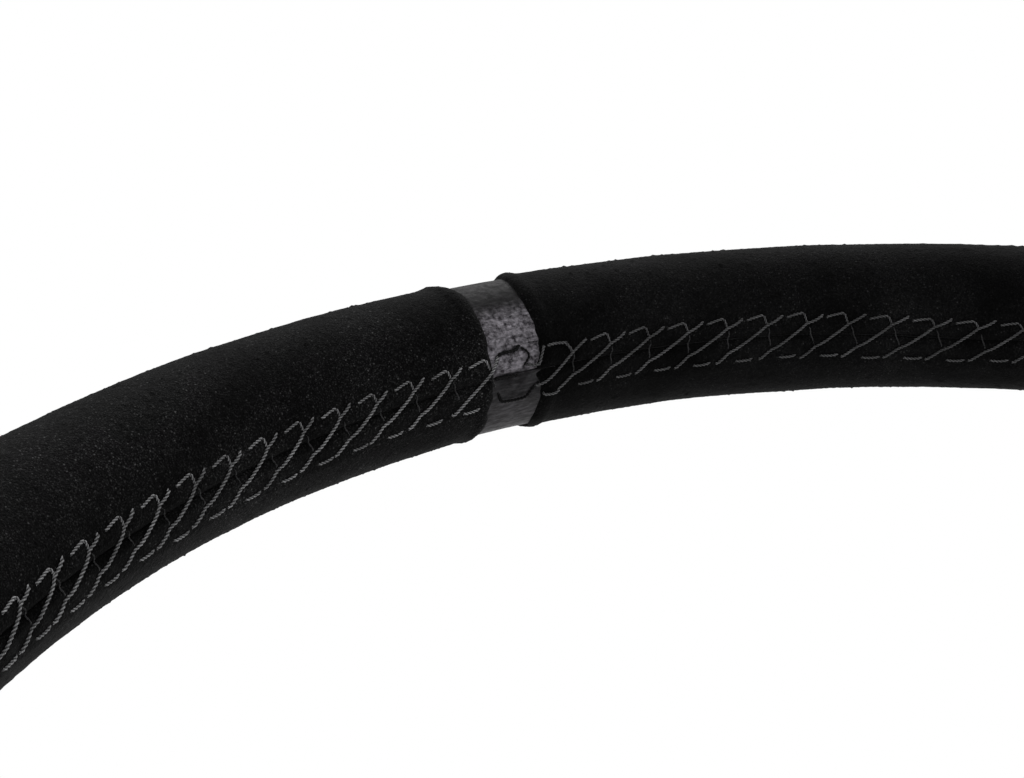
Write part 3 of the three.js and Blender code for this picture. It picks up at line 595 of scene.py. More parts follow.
def seam_line(theta):
    theta = np.asarray(theta) % 360
    fading = np.clip((PULL_LEFT[1] - theta) / (PULL_LEFT[1] - PULL_LEFT[0]), 0, 1)
    drift = SEAM_AWAY + SEAM_PULL * np.minimum(smoothstep(*PULL_RIGHT, theta), fading)
    return SEAM + np.degrees(drift / GRIP)


def grip_point(theta, phi, radius):
    """Points on the grip. Angles in degrees, radius from the grip's own centre line."""
    theta, phi = np.radians(theta), np.radians(phi)
    rho = RIM + radius * np.cos(phi)
    return np.stack([rho * np.cos(theta), -PLANE + radius * np.sin(phi), rho * np.sin(theta)], -1)


def grip_normal(theta, phi):
    theta, phi = np.radians(theta), np.radians(phi)
    return np.stack([np.cos(phi) * np.cos(theta), np.sin(phi) + 0 * theta, np.cos(phi) * np.sin(theta)], -1)


def field(points, scale, seed):
    """Smooth noise at points in millimetres, with features of about scale millimetres."""
    shift = Vector((seed * 17.3, seed * 5.1, seed * 11.9))
    values = [noise.noise(Vector(p) / scale + shift) for p in points.reshape(-1, 3)]
    return np.array(values).reshape(points.shape[:-1])


def stitch_tips(theta, end, pitch):
    """The places of the upper V tips from theta to end."""
    tips = [theta]
    while (tips[-1] - end) * (tips[0] - end) > 0:
        tips.append(tips[-1] + (pitch if pitch > 0 or tips[-1] > WIDE_FROM else -WIDE_PITCH))
    return np.array(tips[:-1])


RIGHT_TIPS = stitch_tips(FIRST_RIGHT, 9.0, -PITCH)
LEFT_TIPS = stitch_tips(FIRST_LEFT, 171.0, PITCH)


def stitch_phase(theta):
    """How far a place is past the last upper V tip in the lacing's direction, as a share of the pitch."""
    right = np.interp(-theta, -RIGHT_TIPS, np.arange(len(RIGHT_TIPS)))
    left = (FIRST_LEFT - theta) / PITCH
    return np.where(theta > TOP, left, right) % 1.0


def lip(theta):
    """The suede swells beside the marker and rolls under at its edge."""
    distance = (np.abs(theta - TOP) - MARKER_HALF) * math.radians(1) * RIM
    return 0.42 * hump(distance, 2.2, 1.5) - 1.05 * rolled(distance, 1.25)


def suede_height(theta, phi, groove=0.62):
    """The suede's radius without its nap: puffed between the stitches, drawn in at the seam and V tips."""
    across = np.radians(phi - seam_line(theta)) * GRIP
    along = stitch_phase(theta) * UNIT
    height = GRIP - 0.12 - groove * hump(across, 0, 0.75) + lip(theta)
    tips = [(tip, TIP_ACROSS) for tip in (0.0, UNIT)]
    tips += [(skew_at(theta) + tip, -TIP_ACROSS) for tip in (-UNIT, 0.0, UNIT)]
    for place, side in tips:
        height = height - 0.34 * hump(along, place, 1.1) * hump(across, side, 1.0)
    puffed = 0.2 * hump(across, 2.0, 1.5) + 0.16 * hump(across, -2.2, 1.5)
    height = height + puffed * hump(along, 4.6, 2.2) + 0.1 * hump(abs(across), 6.0, 1.2)
    # The cover is fuller behind the seam on the left of the marker.
    return height + 0.4 * smoothstep(91, 97, theta) * (1 - smoothstep(140, 160, theta)) * hump(across, -17, 8)


def bridged(theta, phi):
    """Where a taut lace lies, over the groove."""
    return suede_height(theta, phi, 0.0)


def spoke_gap(theta):
    """What a spoke adds to half the seam's opening where it comes through, in degrees of phi."""
    away = np.min([np.abs((theta - s + 180) % 360 - 180) for s in SPOKES], axis=0)
    return GAP_HALF * (1 - smoothstep(6.3, 8.6, away))


def seam_edges(theta):
    """The phi of the cover's two edges: on the driver's side of the seam, and on the other."""
    opening = spoke_gap(theta)
    line = seam_line(theta)
    middle = line - (line - 180.0) * opening / GAP_HALF
    return middle + opening + GAP, middle - opening - GAP + 360.0


def wrap_piece(name, outer, inner, slot, material, replaced):
    """A closed skin on the grip, from rows of points on its outside and back along its inside."""
    points = np.concatenate([outer, inner], 1)
    obj = mesh_object(name, points.reshape(-1, 3), tube_faces(*points.shape[:2]))
    return finish_piece(obj, "wheel", slot, material, replaced)


def suede_cover(name, start, end, marker_end, replaced, fine, material):
    """A suede cover from start to end degrees, which laps the marker at marker_end.

    Within fine degrees of the marker its rows are close together.
    """
    theta = [start]
    while theta[-1] < end:
        near = marker_end is not None and abs(theta[-1] - marker_end) < fine
        theta.append(theta[-1] + math.degrees((0.42 if near else 0.9) / RIM))
    theta = np.array(theta)
    theta = start + (theta - start) * (end - start) / (theta[-1] - start)
    columns, inner_columns = 184, 24
    first, last = seam_edges(theta)
    share = np.linspace(0, 1, columns)
    share = share + 0.018 * np.sin(2 * math.pi * share)  # so that the columns crowd towards the seam
    phi = first[:, None] + (last - first)[:, None] * share[None, :]
    t = np.repeat(theta[:, None], columns, 1)
    turned_phi = np.where(phi > 360 + 90, phi - 360, phi)
    radius = suede_height(t, turned_phi)
    # The cut edge by the marker isn't straight: stitches pull it and it curls.
    if marker_end is not None:
        across = np.radians(turned_phi - SEAM) * GRIP
        side = 1 if marker_end > TOP else -1
        wider = edge_pull(LEFT_PULLS if side > 0 else RIGHT_PULLS, across)
        wider = wider + 0.12 * np.sin(np.radians(phi) * 7 + marker_end) + 0.05 * np.sin(np.radians(phi) * 23)
        t = t + side * np.degrees(wider / (RIM - GRIP)) * np.exp(-np.abs(t - marker_end) / 1.1)
    flat = grip_point(t, phi, GRIP)
    radius += 0.16 * field(flat, 22.0, 1) + 0.07 * field(flat, 6.0, 2)
    nap = random.normal(0, 1, radius.shape)
    radius += 0.03 * nap + 0.13 * np.clip(nap - 2.0, 0, 1.3)
    # The edges roll under: at the seam, more so beside a spoke, and where two covers meet.
    seam_distance = np.minimum(np.abs(phi - first[:, None]), np.abs(last[:, None] - phi))
    seam_distance *= math.radians(1) * GRIP
    opened = np.minimum(spoke_gap(theta) / GAP_HALF, 1.0)[:, None]
    radius -= (0.35 + 0.35 * opened) * rolled(seam_distance, 0.9)
    for edge in (start, end):
        if edge != marker_end:
            radius -= 0.8 * rolled(np.abs(theta - edge)[:, None] * math.radians(1) * RIM, 0.9)
    inner_phi = first[:, None] + (last - first)[:, None] * np.linspace(1, 0, inner_columns)[None, :]
    inner = grip_point(np.repeat(theta[:, None], inner_columns, 1), inner_phi, FOAM + 0.3)
    return wrap_piece(name, grip_point(t, phi, radius), inner, "suede", material, replaced)


MARKER_LEFT, MARKER_RIGHT = TOP + MARKER_HALF, TOP - MARKER_HALF
# The left covers take the suede with brighter painted specks, the right covers the copy with painted shade.
suede_cover("suede_upper_left", MARKER_LEFT, 179.95, MARKER_LEFT, "cover_upper_left", 34, SUEDE)
suede_cover("suede_upper_right", 0.05, MARKER_RIGHT, MARKER_RIGHT, "cover_upper_right", 30, SHADED_SUEDE)
suede_cover("suede_lower_left", 180.05, 269.95, None, "cover_lower_left", 0, SUEDE)
suede_cover("suede_lower_right", 270.05, 359.95, None, "cover_lower_right", 0, SHADED_SUEDE)


def marker_band():
    """The leather band between the covers, pebbled on the driver's side, with its own stitched seam."""
    reach = MARKER_HALF + 1.25
    theta = np.linspace(TOP - reach, TOP + reach, 110)
    start, end = SEAM + 0.2, SEAM + 359.8
    t, p = np.meshgrid(theta, np.linspace(start, end, 620), indexing="ij")
    flat = grip_point(t, p, GRIP)
    across = np.radians(np.where(p > 360 + 90, p - 360, p) - SEAM) * GRIP
    along = np.radians(TOP - t) * (RIM - GRIP)
    radius = MARKER_RADIUS + 0.3 * hump(across, -20, 9)
    cells = np.array([noise.voronoi(Vector(q) / 1.15)[0][0] for q in flat.reshape(-1, 3)]).reshape(t.shape)
    pebbled = smoothstep(-0.6, 0.6, across) * (1 - smoothstep(12.0, 16.0, across))
    radius += (pebbled + 0.15) * 0.26 * (0.45 - cells) + 0.1 * field(flat, 2.0, 5) * (0.3 + pebbled)
    # The band has its own seam with swollen sides, lines pressed by the stitches, and a stitch hole.
    radius -= 0.5 * hump(across, 0.02 * along, 0.2 + 0.25 * smoothstep(1.5, -0.5, along))
    radius += 0.14 * hump(np.abs(across), 2.4, 1.3)
    radius -= 0.2 * hump(across, 4.8, 0.5) + 0.2 * hump(across, -5.0, 0.5)
    radius -= 0.55 * hump(across, 5.7, 0.75) * hump(along, 1.5, 0.45)
    inner = grip_point(*np.meshgrid(theta, np.linspace(end, start, 60), indexing="ij"), FOAM + 0.05)
    return wrap_piece("marker_band", grip_point(t, p, radius), inner, "marker_leather", LEATHER, "top_marker")


marker_band()

# ---------------------------------------------------------------- the laced seam
PLY_LEAD = 1.4  # of the thread's twist
SPOKE_CLEAR = 11.0  # degrees from a spoke's middle to the nearest stitch


def smooth_path(knots, spacing):
    """Points along a smooth curve through knots, about spacing apart in their first two numbers."""
    knots = np.asarray(knots, float)
    ends = np.vstack([2 * knots[0] - knots[1], knots, 2 * knots[-1] - knots[-2]])
    rows = []
    for k in range(len(knots) - 1):
        a, b, c, d = ends[k : k + 4]
        count = max(2, int(round(np.linalg.norm((c - b)[:2]) / spacing)))
        for t in np.arange(count) / count:
            square, cube = 2 * a - 5 * b + 4 * c - d, 3 * b - 3 * c + d - a
            rows.append(0.5 * (2 * b + (c - a) * t + square * t**2 + cube * t**3))
    rows.append(knots[-1])
    return np.array(rows)


def thread_on_grip(knots, tip, pitch, radius, lift, spacing=0.15, sides=8, base=suede_height):
    """A thread through knots of [along, across, sink]. Along is from a V tip, in the lacing's direction."""
    path = smooth_path(knots, spacing)
    theta = tip - path[:, 0] / UNIT * pitch
    phi = seam_line(theta) + np.degrees(path[:, 1] / GRIP)
    centres = grip_point(theta, phi, base(theta, phi) + lift - path[:, 2])
    return along_curve(centres, grip_normal(theta, phi), radius, sides, 2, 0.3, 2 * math.pi / PLY_LEAD)


def lacing_unit(tip, pitch, parts, wanted=("lace", "dash", "drop", "low", "back")):
    """One stitch: the slanted lace, a dash on either side, the drop to the next V and the dark return."""
    a, b, c, d = (float(random.normal(0, 0.1)) for _ in range(4))
    skew = float(skew_at(tip))
    start = skew - UNIT
    # Near the marker the dashes are further from the seam; on the left the stitches stand steeper.
    lift = float(smoothstep(60, 66, tip) * (1 - smoothstep(125, 140, tip)))
    steep = 0.75 if TOP < tip < 180 else 1.0
    near, far = 3.3 + 0.3 * lift + c, 3.8 + 0.5 * lift + c
    low = -4.42 - (0.45 * lift if tip > TOP else 0.0) + d
    knots = {
        "lace": [
            (start - 2.9, -4.5 + a, 0.4), (start - 2.7, -4.35 + a, 0.02), (start - 1.4, -3.3 + a, -0.02),
            (start, -TIP_ACROSS, 0.0), (start * 0.75, -1.2, -0.02), (start * 0.5, 0.0, -0.05),
            (start * 0.25, 1.2, -0.02), (-0.1, 2.3, -0.05), (1.5 * steep, 3.1 + b, -0.04),
            (2.75 * steep, 3.85 + b, 0.0), (2.95 * steep, 4.0 + b, 0.4),
        ],
        "dash": [
            (3.85, near - 0.05, 0.4), (4.0, near, 0.02), (5.5, (near + far) / 2 + 0.05, -0.02),
            (6.9, far, 0.0), (7.1, far, 0.4),
        ],
        "drop": [(7.15, far, 0.3), (7.35, far - 0.3, 0.02), (7.7, 3.0, 0.0), (7.97, 2.4, 0.1)],
        "low": [
            (skew - 6.9, low - 0.03, 0.4), (skew - 6.7, low, 0.02), (skew - 5.2, low, -0.02),
            (skew - 3.9, low + 0.22, 0.0), (skew - 3.7, low + 0.27, 0.4),
        ],
    }
    sizes = {"lace": (0.23, 0.16), "dash": (0.21, 0.1), "drop": (0.19, 0.08), "low": (0.21, 0.1)}
    for part, (radius, height) in sizes.items():
        if part in wanted:
            base = bridged if part == "lace" else suede_height
            parts["bright"].append(thread_on_grip(knots[part], tip, pitch, radius, height, base=base))
    back = [
        (0.1, 2.3, 0.25), (0.2 + skew * 0.2, 1.3, 0.06), (skew * 0.55, 0.0, 0.0),
        (skew * 0.85, -1.3, 0.06), (skew, -2.3, 0.25),
    ]
    if "back" in wanted:
        parts["dark"].append(thread_on_grip(back, tip, pitch, 0.12, 0.03, 0.3, 6))


def lace_run(name, tips, first, thread, *nodes):
    """A run of stitches. Where first is given, the one nearest the marker has only the parts named in it."""
    parts = {"bright": [], "dark": []}
    for index, tip in enumerate(tips):
        step = abs(tips[max(index, 1)] - tips[max(index, 1) - 1])
        if index == 0 and first:
            lacing_unit(tip, step, parts, first)
        else:
            lacing_unit(tip, step, parts)
    finish_piece(tube_object(f"lacing_{name}", parts["bright"]), "wheel", "seam_thread", thread, *nodes)
    finish_piece(tube_object(f"lacing_return_{name}", parts["dark"]), "wheel", "seam_thread", DARK_THREAD)


def lower_tips(start):
    """The V tips between the spoke at start degrees and the next one."""
    return np.arange(start + SPOKE_CLEAR, start + 90 - SPOKE_CLEAR, PITCH)


# The upper right run takes the thread copy painted darker as painted shade.
lace_run("upper_right", RIGHT_TIPS[1:-1], ("dash", "drop", "back"), SHADED_THREAD, "lacing_top")
lace_run("upper_left", LEFT_TIPS[:-1], ("low", "back"), THREAD)
lace_run("lower_left", lower_tips(180), None, THREAD, "lacing_lower_left")
lace_run("lower_right", lower_tips(270), None, THREAD, "lacing_lower_right")


def marker_height(theta, phi):
    return np.full(np.shape(theta), MARKER_RADIUS + 0.17)


def marker_stitches():
    """The black stitches across the leather band, and the grey ones that reach its edges from either side."""
    unit = 180 / math.pi / (RIM - GRIP) * UNIT  # degrees, so that a knot's along is in millimetres
    black = [
        (0.32, [(-4.0, 4.0, 0.5), (-3.0, 4.6, 0.0), (-0.2, 4.7, -0.1), (1.1, 5.4, 0.5)]),
        (0.2, [(1.3, 5.0, 0.3), (2.2, 4.0, -0.1), (2.4, 2.9, -0.1), (1.4, 1.5, 0.4)]),
        (0.27, [(-4.3, -2.7, 0.3), (-3.5, -4.6, 0.0), (-2.0, -5.0, -0.1), (1.3, -5.0, -0.1),
                (2.6, -3.7, -0.1), (4.4, -2.3, 0.1)]),
        (0.24, [(-4.7, 0.2, 0.3), (-1.2, 0.0, 0.3), (-0.2, -0.2, 0.3)]),
        (0.08, [(2.9, 5.6, 0.1), (5.4, 5.4, 0.2)]),
    ]
    right = [
        [(2.0, 1.5, 0.3), (2.6, 1.4, 0.0), (3.8, 1.4, -1.0), (4.4, 2.6, -1.2), (5.0, 3.8, -1.2),
         (5.5, 4.3, -0.8)],
        [(6.3, 4.3, -0.9), (6.5, 4.3, -1.2), (8.0, 4.3, -1.2), (9.9, 4.1, -0.9), (10.1, 4.1, -0.5)],
        [(10.1, 4.0, -0.6), (10.5, 3.3, -0.9), (11.1, 2.2, -0.7)],
        [(3.4, -2.7, -0.1), (3.8, -2.5, -0.9), (6.2, -1.5, -1.1), (11.2, 2.2, -0.9), (14.0, 3.9, -0.8),
         (14.2, 4.0, -0.4)],
        [(5.0, -4.5, -0.6), (5.2, -4.6, -1.2), (7.2, -4.8, -1.2), (8.1, -4.4, -1.0), (8.3, -4.3, -0.5)],
    ]
    left = [
        [(-14.2, -4.4, -0.4), (-13.9, -4.2, -0.8), (-10.8, -1.6, -0.9), (-6.8, 1.3, -1.1), (-5.6, 2.4, -1.1),
         (-4.5, 3.3, -0.3), (-3.7, 4.2, 0.1)],
    ]
    runs = {
        "marker_stitches": (BLACK_THREAD, black, 0.14, 0.12),
        # the lace ends on the right take the thread copy painted darker as painted shade
        "marker_lace_ends_right": (SHADED_THREAD, [(0.22, knots) for knots in right], 0.1, 0.14),
        "marker_lace_ends_left": (THREAD, [(0.22, knots) for knots in left], 0.1, 0.14),
    }
    for name, (thread, rows, lift, spacing) in runs.items():
        tubes = [thread_on_grip(knots, TOP, unit, r, lift, spacing, 8, marker_height) for r, knots in rows]
        finish_piece(tube_object(name, tubes), "wheel", "seam_thread", thread)


marker_stitches()

# ---------------------------------------------------------------- spoked frame
SPOKE_ROOT, SPOKE_WAIST, SPOKE_TIP = 23.0, 17.0, 15.0  # half widths at the root, between and at the rim
SPOKE_START, SPOKE_MIDDLE, SPOKE_END = 35.0, 95.5, 157.0  # from the axis: in the plate, between, in the foam
SLOT_ROOT, SLOT_TIP = (63.0, 8.0), (132.0, 4.5)  # centre and radius of the slot's round ends
CHAMFER = 0.6
MESH_STEP, JITTER = 3.0, 0.05  # of the points between the outlines
EDGE_CLEAR = 1.2  # the least distance of those points from an outline


def turn_outline(points, degrees):
    """[x, z] points turned about the axis."""
    c, s = polar(1, degrees)
    return points @ np.array([[c, s], [-s, c]])


def spoke_edge():
    """[distance from the axis, half width] of a spoke's edge."""
    t = np.linspace(0, 1, 60)
    out = (1 - t) ** 2 * SPOKE_START + 2 * t * (1 - t) * SPOKE_MIDDLE + t * t * BEND[1]
    half = (1 - t) ** 2 * SPOKE_ROOT + 2 * t * (1 - t) * SPOKE_WAIST + t * t * SPOKE_TIP
    keep = out**2 + half**2 > (PLATE_RADIUS + 0.4) ** 2
    tail = np.stack([np.linspace(BEND[1] + 1, SPOKE_END, 12), np.full(12, SPOKE_TIP)], -1)
    return np.vstack([np.stack([out[keep], half[keep]], -1), tail])


def armature_outline():
    edge = spoke_edge()
    root = math.degrees(math.atan2(edge[0][1], edge[0][0]))
    spoke = np.vstack([edge * (1, -1), edge[::-1]])
    outline = []
    for index, angle in enumerate(SPOKES):
        outline.extend(turn_outline(spoke, angle))
        start = angle + root
        end = (SPOKES[(index + 1) % len(SPOKES)] - root - start) % 360 + start
        outline.extend(arc(PLATE_RADIUS, start, end, max(4, int((end - start) / 2.5)))[1:-1])
    outline = np.array(outline)
    # The inner corners where the spokes leave the plate are rounded.
    for _ in range(10):
        blend = (np.roll(outline, 1, 0) + np.roll(outline, -1, 0)) / 2
        near = np.abs(np.hypot(outline[:, 0], outline[:, 1]) - PLATE_RADIUS) < 2.2
        outline[near] = 0.5 * outline[near] + 0.5 * blend[near]
    return outline


def slot_outline(angle):
    (root, wide), (tip, narrow) = SLOT_ROOT, SLOT_TIP
    share = np.linspace(0, 1, 26)[1:-1, None]
    side = (1 - share) * (root, -wide) + share * (tip, -narrow)
    ends = arc(wide, 90, 270, 22, (root, 0)), arc(narrow, -90, 90, 16, (tip, 0))
    return turn_outline(np.vstack([ends[0], side, ends[1], side[::-1] * (1, -1)]), angle)


def outward(loop, sign):
    """Unit normals of a closed loop, pointing out of the metal: sign 1 on the outline and -1 in a hole."""
    tangent = np.roll(loop, -1, 0) - np.roll(loop, 1, 0)
    tangent /= np.maximum(np.linalg.norm(tangent, axis=1), 1e-9)[:, None]
    normal = np.stack([tangent[:, 1], -tangent[:, 0]], -1)
    area = np.sum(loop[:, 0] * np.roll(loop[:, 1], -1) - np.roll(loop[:, 0], -1) * loop[:, 1])
    return normal * (1 if area > 0 else -1) * sign


def inside(points, loop):
    x, z = points[:, 0], points[:, 1]
    found = np.zeros(len(points), bool)
    for (x1, z1), (x2, z2) in zip(loop, np.roll(loop, -1, 0)):
        crosses = (z1 > z) != (z2 > z)
        with np.errstate(divide="ignore", invalid="ignore"):
            found ^= crosses & (x < (x2 - x1) * (z - z1) / (z2 - z1) + x1)
    return found


def in_metal(points, outline, *holes):
    return inside(points, outline) & ~np.any([inside(points, hole) for hole in holes], axis=0)


def dished(flat, height):
    """Points of the frame from flat [x, z] ones. The height is from the plate's middle, to the driver."""
    directions = np.array([polar(1, angle) for angle in SPOKES])
    out = flat @ directions.T
    direction = directions[out.argmax(1)]
    t = np.clip((out.max(1) - BEND[0]) / (BEND[1] - BEND[0]), 0, 1)
    rise = DISH * (1 - np.cos(math.pi * t)) / 2
    slope = DISH * math.pi / 2 * np.sin(math.pi * t) / (BEND[1] - BEND[0])
    length = np.hypot(1, slope)
    moved = flat - direction * (height * slope / length)[:, None]
    return np.stack([moved[:, 0], -(PLATE_MIDDLE + rise + height / length), moved[:, 1]], -1)


def frame_faces(inset):
    """Points and triangles between the frame's outline and its holes. The points on these come first."""
    edges, base = [], 0
    for loop in inset:
        edges += [(base + k, base + (k + 1) % len(loop)) for k in range(len(loop))]
        base += len(loop)
    across, up = np.arange(-165, 166, MESH_STEP), np.arange(-165, 60, MESH_STEP)
    grid = np.stack(np.meshgrid(across, up), -1).reshape(-1, 2)
    grid = grid + random.uniform(-JITTER, JITTER, grid.shape)
    grid = grid[in_metal(grid, *inset)]
    rim = np.vstack(inset)
    away = np.array([np.min(np.hypot(*(rim - p).T)) for p in grid])
    flat = [Vector(p) for p in np.vstack([rim, grid[away > EDGE_CLEAR]])]
    points, _, faces, *_ = geometry.delaunay_2d_cdt(flat, edges, [], 0, 1e-6)
    points, faces = np.array([tuple(p) for p in points]), np.array([tuple(f) for f in faces])
    return points, faces[in_metal(points[faces].mean(1), *inset)]


def spoke_frame():
    """The plate and its spokes, with chamfered edges."""
    loops = [(armature_outline(), 1), (circle(HOUSING_BORE, 96), -1)]
    loops += [(slot_outline(a), -1) for a in SPOKES]
    loops += [(circle(BOLT_HOLE, 24, polar(BOLT_CIRCLE, a)), -1) for a in BOLTS]
    points, triangles = frame_faces([loop - outward(loop, sign) * CHAMFER for loop, sign in loops])
    count = len(points)
    full = np.full(count, PLATE_HALF)
    parts = [dished(points, full), dished(points, -full)]
    faces = triangles.tolist() + (triangles[:, ::-1] + count).tolist()
    top, upper = 0, 2 * count
    for loop, _ in loops:
        size = len(loop)
        side = np.full(size, PLATE_HALF - CHAMFER)
        parts += [dished(loop, side), dished(loop, -side)]
        for a, b in ((top, upper), (upper, upper + size), (upper + size, top + count)):
            faces += [(a + k, a + (k + 1) % size, b + (k + 1) % size, b + k) for k in range(size)]
        upper += 2 * size
        top += size
    obj = mesh_object("spoke_frame", np.vstack(parts), faces, 32)
    finish_piece(obj, "wheel", "black_anodised", ANODISED, "spoke_armature")


spoke_frame()

RING_ACROSS, RING_ALONG = 6.0, 2.5  # half of the ring's section
section = [(RIM + x * RING_ACROSS, PLANE + y * RING_ALONG) for x, y in ((-1, -1), (1, -1), (1, 1), (-1, 1))]
hoop = spin("frame_ring", rounded(section, 0.8), 180)
finish_piece(hoop, "wheel", "black_anodised", ANODISED)

foam = spin("foam_core", arc(FOAM, 0, 360, 40, (RIM, PLANE))[:-1], 200)
finish_piece(foam, "wheel", "rim_foam", FOAM_SKIN, "rim_foam")

# ---------------------------------------------------------------- horn push and its ring
BEZEL_FACE, BEZEL_STEP = 85.0, 84.0  # the sunk face between the bezel's two lips, and its outer edge
BEZEL_PROFILE = [
    (27.1, BEZEL_REAR), (BEZEL_RADIUS, BEZEL_REAR), (BEZEL_RADIUS, BEZEL_STEP), (42.9, BEZEL_FRONT),
    (39.9, BEZEL_FRONT), (39.7, BEZEL_FACE), (30.7, BEZEL_FACE), (30.1, BEZEL_FRONT), (28.9, HOUSING_FRONT),
    (HOUSING_BORE, HOUSING_FRONT), (HOUSING_BORE, 84.5), (27.1, 84.5),
]
bezel = spin("horn_ring", rounded(BEZEL_PROFILE, 0.4), 160)


def countersunk_hole(centre):
    small, large = circle(BOLT_HOLE, 32, centre), circle(4.95, 32, centre)
    rings = [(small, BEZEL_REAR - 1), (small, 82.4), (large, 84.85), (large, BEZEL_FRONT + 1)]
    return [[x, -along, z] for ring, along in rings for x, z in ring], tube_faces(len(rings), 32)


carve(bezel, [countersunk_hole(polar(BOLT_CIRCLE, angle)) for angle in BOLTS])
finish_piece(bezel, "wheel", "black_anodised", ANODISED, "horn_bezel")

for index, angle in enumerate(BOLTS):
    # a countersunk screw: its point, its shank, its cone and its face
    rings = [
        (2.2, 70.7), (2.5, 71.1), (2.5, 82.5), (4.25, 84.5), (4.55, 84.72), (4.45, BEZEL_FACE),
        (2.15, BEZEL_FACE),
    ]
    points, faces = socket_screw(rings, (1.75, 84.75, 83.4), 48)
    x, z = polar(BOLT_CIRCLE, angle)
    points = points[:, [0, 2, 1]] * (1, -1, 1) + (x, 0, z)
    bolt = joined(f"wheel_bolt_{index + 1}", [(points, faces)])
    finish_piece(bolt, "wheel", "black_screw_steel", BLACK_STEEL, f"wheel_screw_{index + 1}")

CUP_PROFILE = [
    (5, HOUSING_REAR), (24.2, HOUSING_REAR), (24.2, BEZEL_REAR), (26.8, BEZEL_REAR), (26.8, 84.2),
    (24.2, 84.2), (24.2, HOUSING_FRONT), (20.9, HOUSING_FRONT), (20.9, 87.2), (22.2, 87.2),
    (22.2, 78.9), (5, 78.9),
]
cup = spin("horn_cup", rounded(CUP_PROFILE, 0.25), 144)
slits = [block(x, x + 1.4, HOUSING_REAR - 1, 80, -3.45, 3.45) for x in (11.1, -9.7)]
carve(cup, slits)
finish_piece(cup, "wheel", "black_plastic", PLASTIC, "horn_housing")

CAP_RADIUS, CAP_EDGE, CAP_RISE = 20.5, 93.0, 3.4  # the button, and its domed front
dome = [
    (CAP_RADIUS * math.cos(a), CAP_EDGE + CAP_RISE * math.sin(a))
    for a in np.linspace(0.12, math.pi / 2 - 0.25, 16)
]
cap_back = [
    (0, 91.0), (18.3, 91.0), (18.5, 90.8), (18.5, 84.4), (21.6, 84.4), (21.8, 84.6), (21.8, 86.7),
    (21.6, 86.9), (CAP_RADIUS, 86.9), (CAP_RADIUS, 92.6),
]
button = spin_capped("horn_cap", cap_back + dome + [(4.2, 96.3), (2.0, 96.4), (0, 96.42)], 144)
finish_piece(button, "horn_push", "button_plastic", BUTTON, "horn_button")


def coil(name, radius, turns, wire, ends, replaced):
    """A round-wire coil about the axis, closed at both ends, between two given places along the axis."""
    rear, front = ends
    t = np.linspace(0, 1, turns * 64)
    eased = np.where(t < 0.5, 0.5 * (2 * t) ** 1.15, 1 - 0.5 * (2 - 2 * t) ** 1.15)
    angle = 2 * math.pi * turns * t
    along = rear + wire / 2 + (front - rear - wire) * eased
    centres = np.stack([radius * np.cos(angle), -along, radius * np.sin(angle)], -1)
    normals = np.stack([np.cos(angle), 0 * angle, np.sin(angle)], -1)
    obj = tube_object(name, [along_curve(centres, normals, wire / 2, 12)])
    obj.data.materials.append(SPRING_STEEL)
    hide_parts(replaced)
    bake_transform(obj)


coil("horn_coil", 6, 5, 1, (79.2, 90.7), "horn_spring")
coil("collar_coil", 20.65, 4, 1.3, (61.4, 69.3), "collar_spring")

# ---------------------------------------------------------------- release hub, collar, balls
NECK, PILOT, PILOT_FRONT, HUB_BORE = 19.5, 14.2, 56.4, 15.0
HUB_PROFILE = [
    (PILOT, HUB_REAR), (NECK - 0.4, HUB_REAR), (NECK, HUB_REAR + 0.4), (NECK, 30.7), (18.5, 30.7),
    (18.5, 32.3), (NECK, 32.3), (NECK, FLANGE_REAR), (40.4, FLANGE_REAR), (FLANGE, 70.7), (FLANGE, 75.8),
    (40.9, FLANGE_FRONT), (HUB_BORE, FLANGE_FRONT), (HUB_BORE, PILOT_FRONT), (PILOT, PILOT_FRONT),
]
hub = spin("quick_release_hub", rounded(HUB_PROFILE, 0.3, 2), 180)


def spline_star(minor, major, teeth=18, blank=4):
    """The outline of a spline with one tooth left out, so that it fits only one way round."""
    points = []
    for i in range(teeth):
        top = minor if i == blank else major
        tooth = ((minor, -0.28), (top, -0.18), (top, 0.0), (top, 0.18), (minor, 0.28), (minor, 0.5))
        points += [polar(radius, (i + share) * 360 / teeth) for radius, share in tooth]
    return points


def through_flange(radius, count, centre):
    return prism(circle(radius, count, centre), FLANGE_REAR - 1, FLANGE_FRONT + 1)


cuts = [prism(spline_star(SPLINE_MINOR + 0.2, SPLINE_MAJOR + 0.2), HUB_REAR - 1, 41.3)]
cuts += [radial_rod(BALL_POCKET, 13.0, 21.0, BALL_PLANE, 60 * i) for i in range(6)]
cuts += [through_flange(BOLT_HOLE, 28, polar(BOLT_CIRCLE, a)) for a in BOLTS]
cuts += [through_flange(9, 64, polar(46, a + 30)) for a in BOLTS]  # the hollows between the bolts
carve(hub, cuts)
finish_piece(hub, "wheel", "hub_alloy", ALLOY, "release_hub")

LAND, RELIEF, CUP_RADIUS, COLLAR, RING_DEPTH = 19.7, 21.5, 21.6, 25.1, 0.5
COLLAR_REAR, COLLAR_FRONT, LIP_RADIUS = 40.4, 69.3, 31.1
COLLAR_PROFILE = [
    (LAND, COLLAR_REAR), (30.4, COLLAR_REAR), (LIP_RADIUS, 41.1), (LIP_RADIUS, 44.6), (30.0, 46.2),
    (27.6, 48.6), (COLLAR, 50.0),
]
for groove_rear in (53.4, 57.0):
    steps = ((0, 0), (RING_DEPTH, 0.4), (RING_DEPTH, 1.2), (0, 1.6))
    COLLAR_PROFILE += [(COLLAR - deep, groove_rear + step) for deep, step in steps]
COLLAR_PROFILE += [
    (COLLAR, 68.3), (24.1, COLLAR_FRONT), (CUP_RADIUS, COLLAR_FRONT), (CUP_RADIUS, 61.1), (LAND, 61.1),
    (LAND, 55.1), (RELIEF, 47.1), (RELIEF, 42.6), (LAND, 42.6),
]
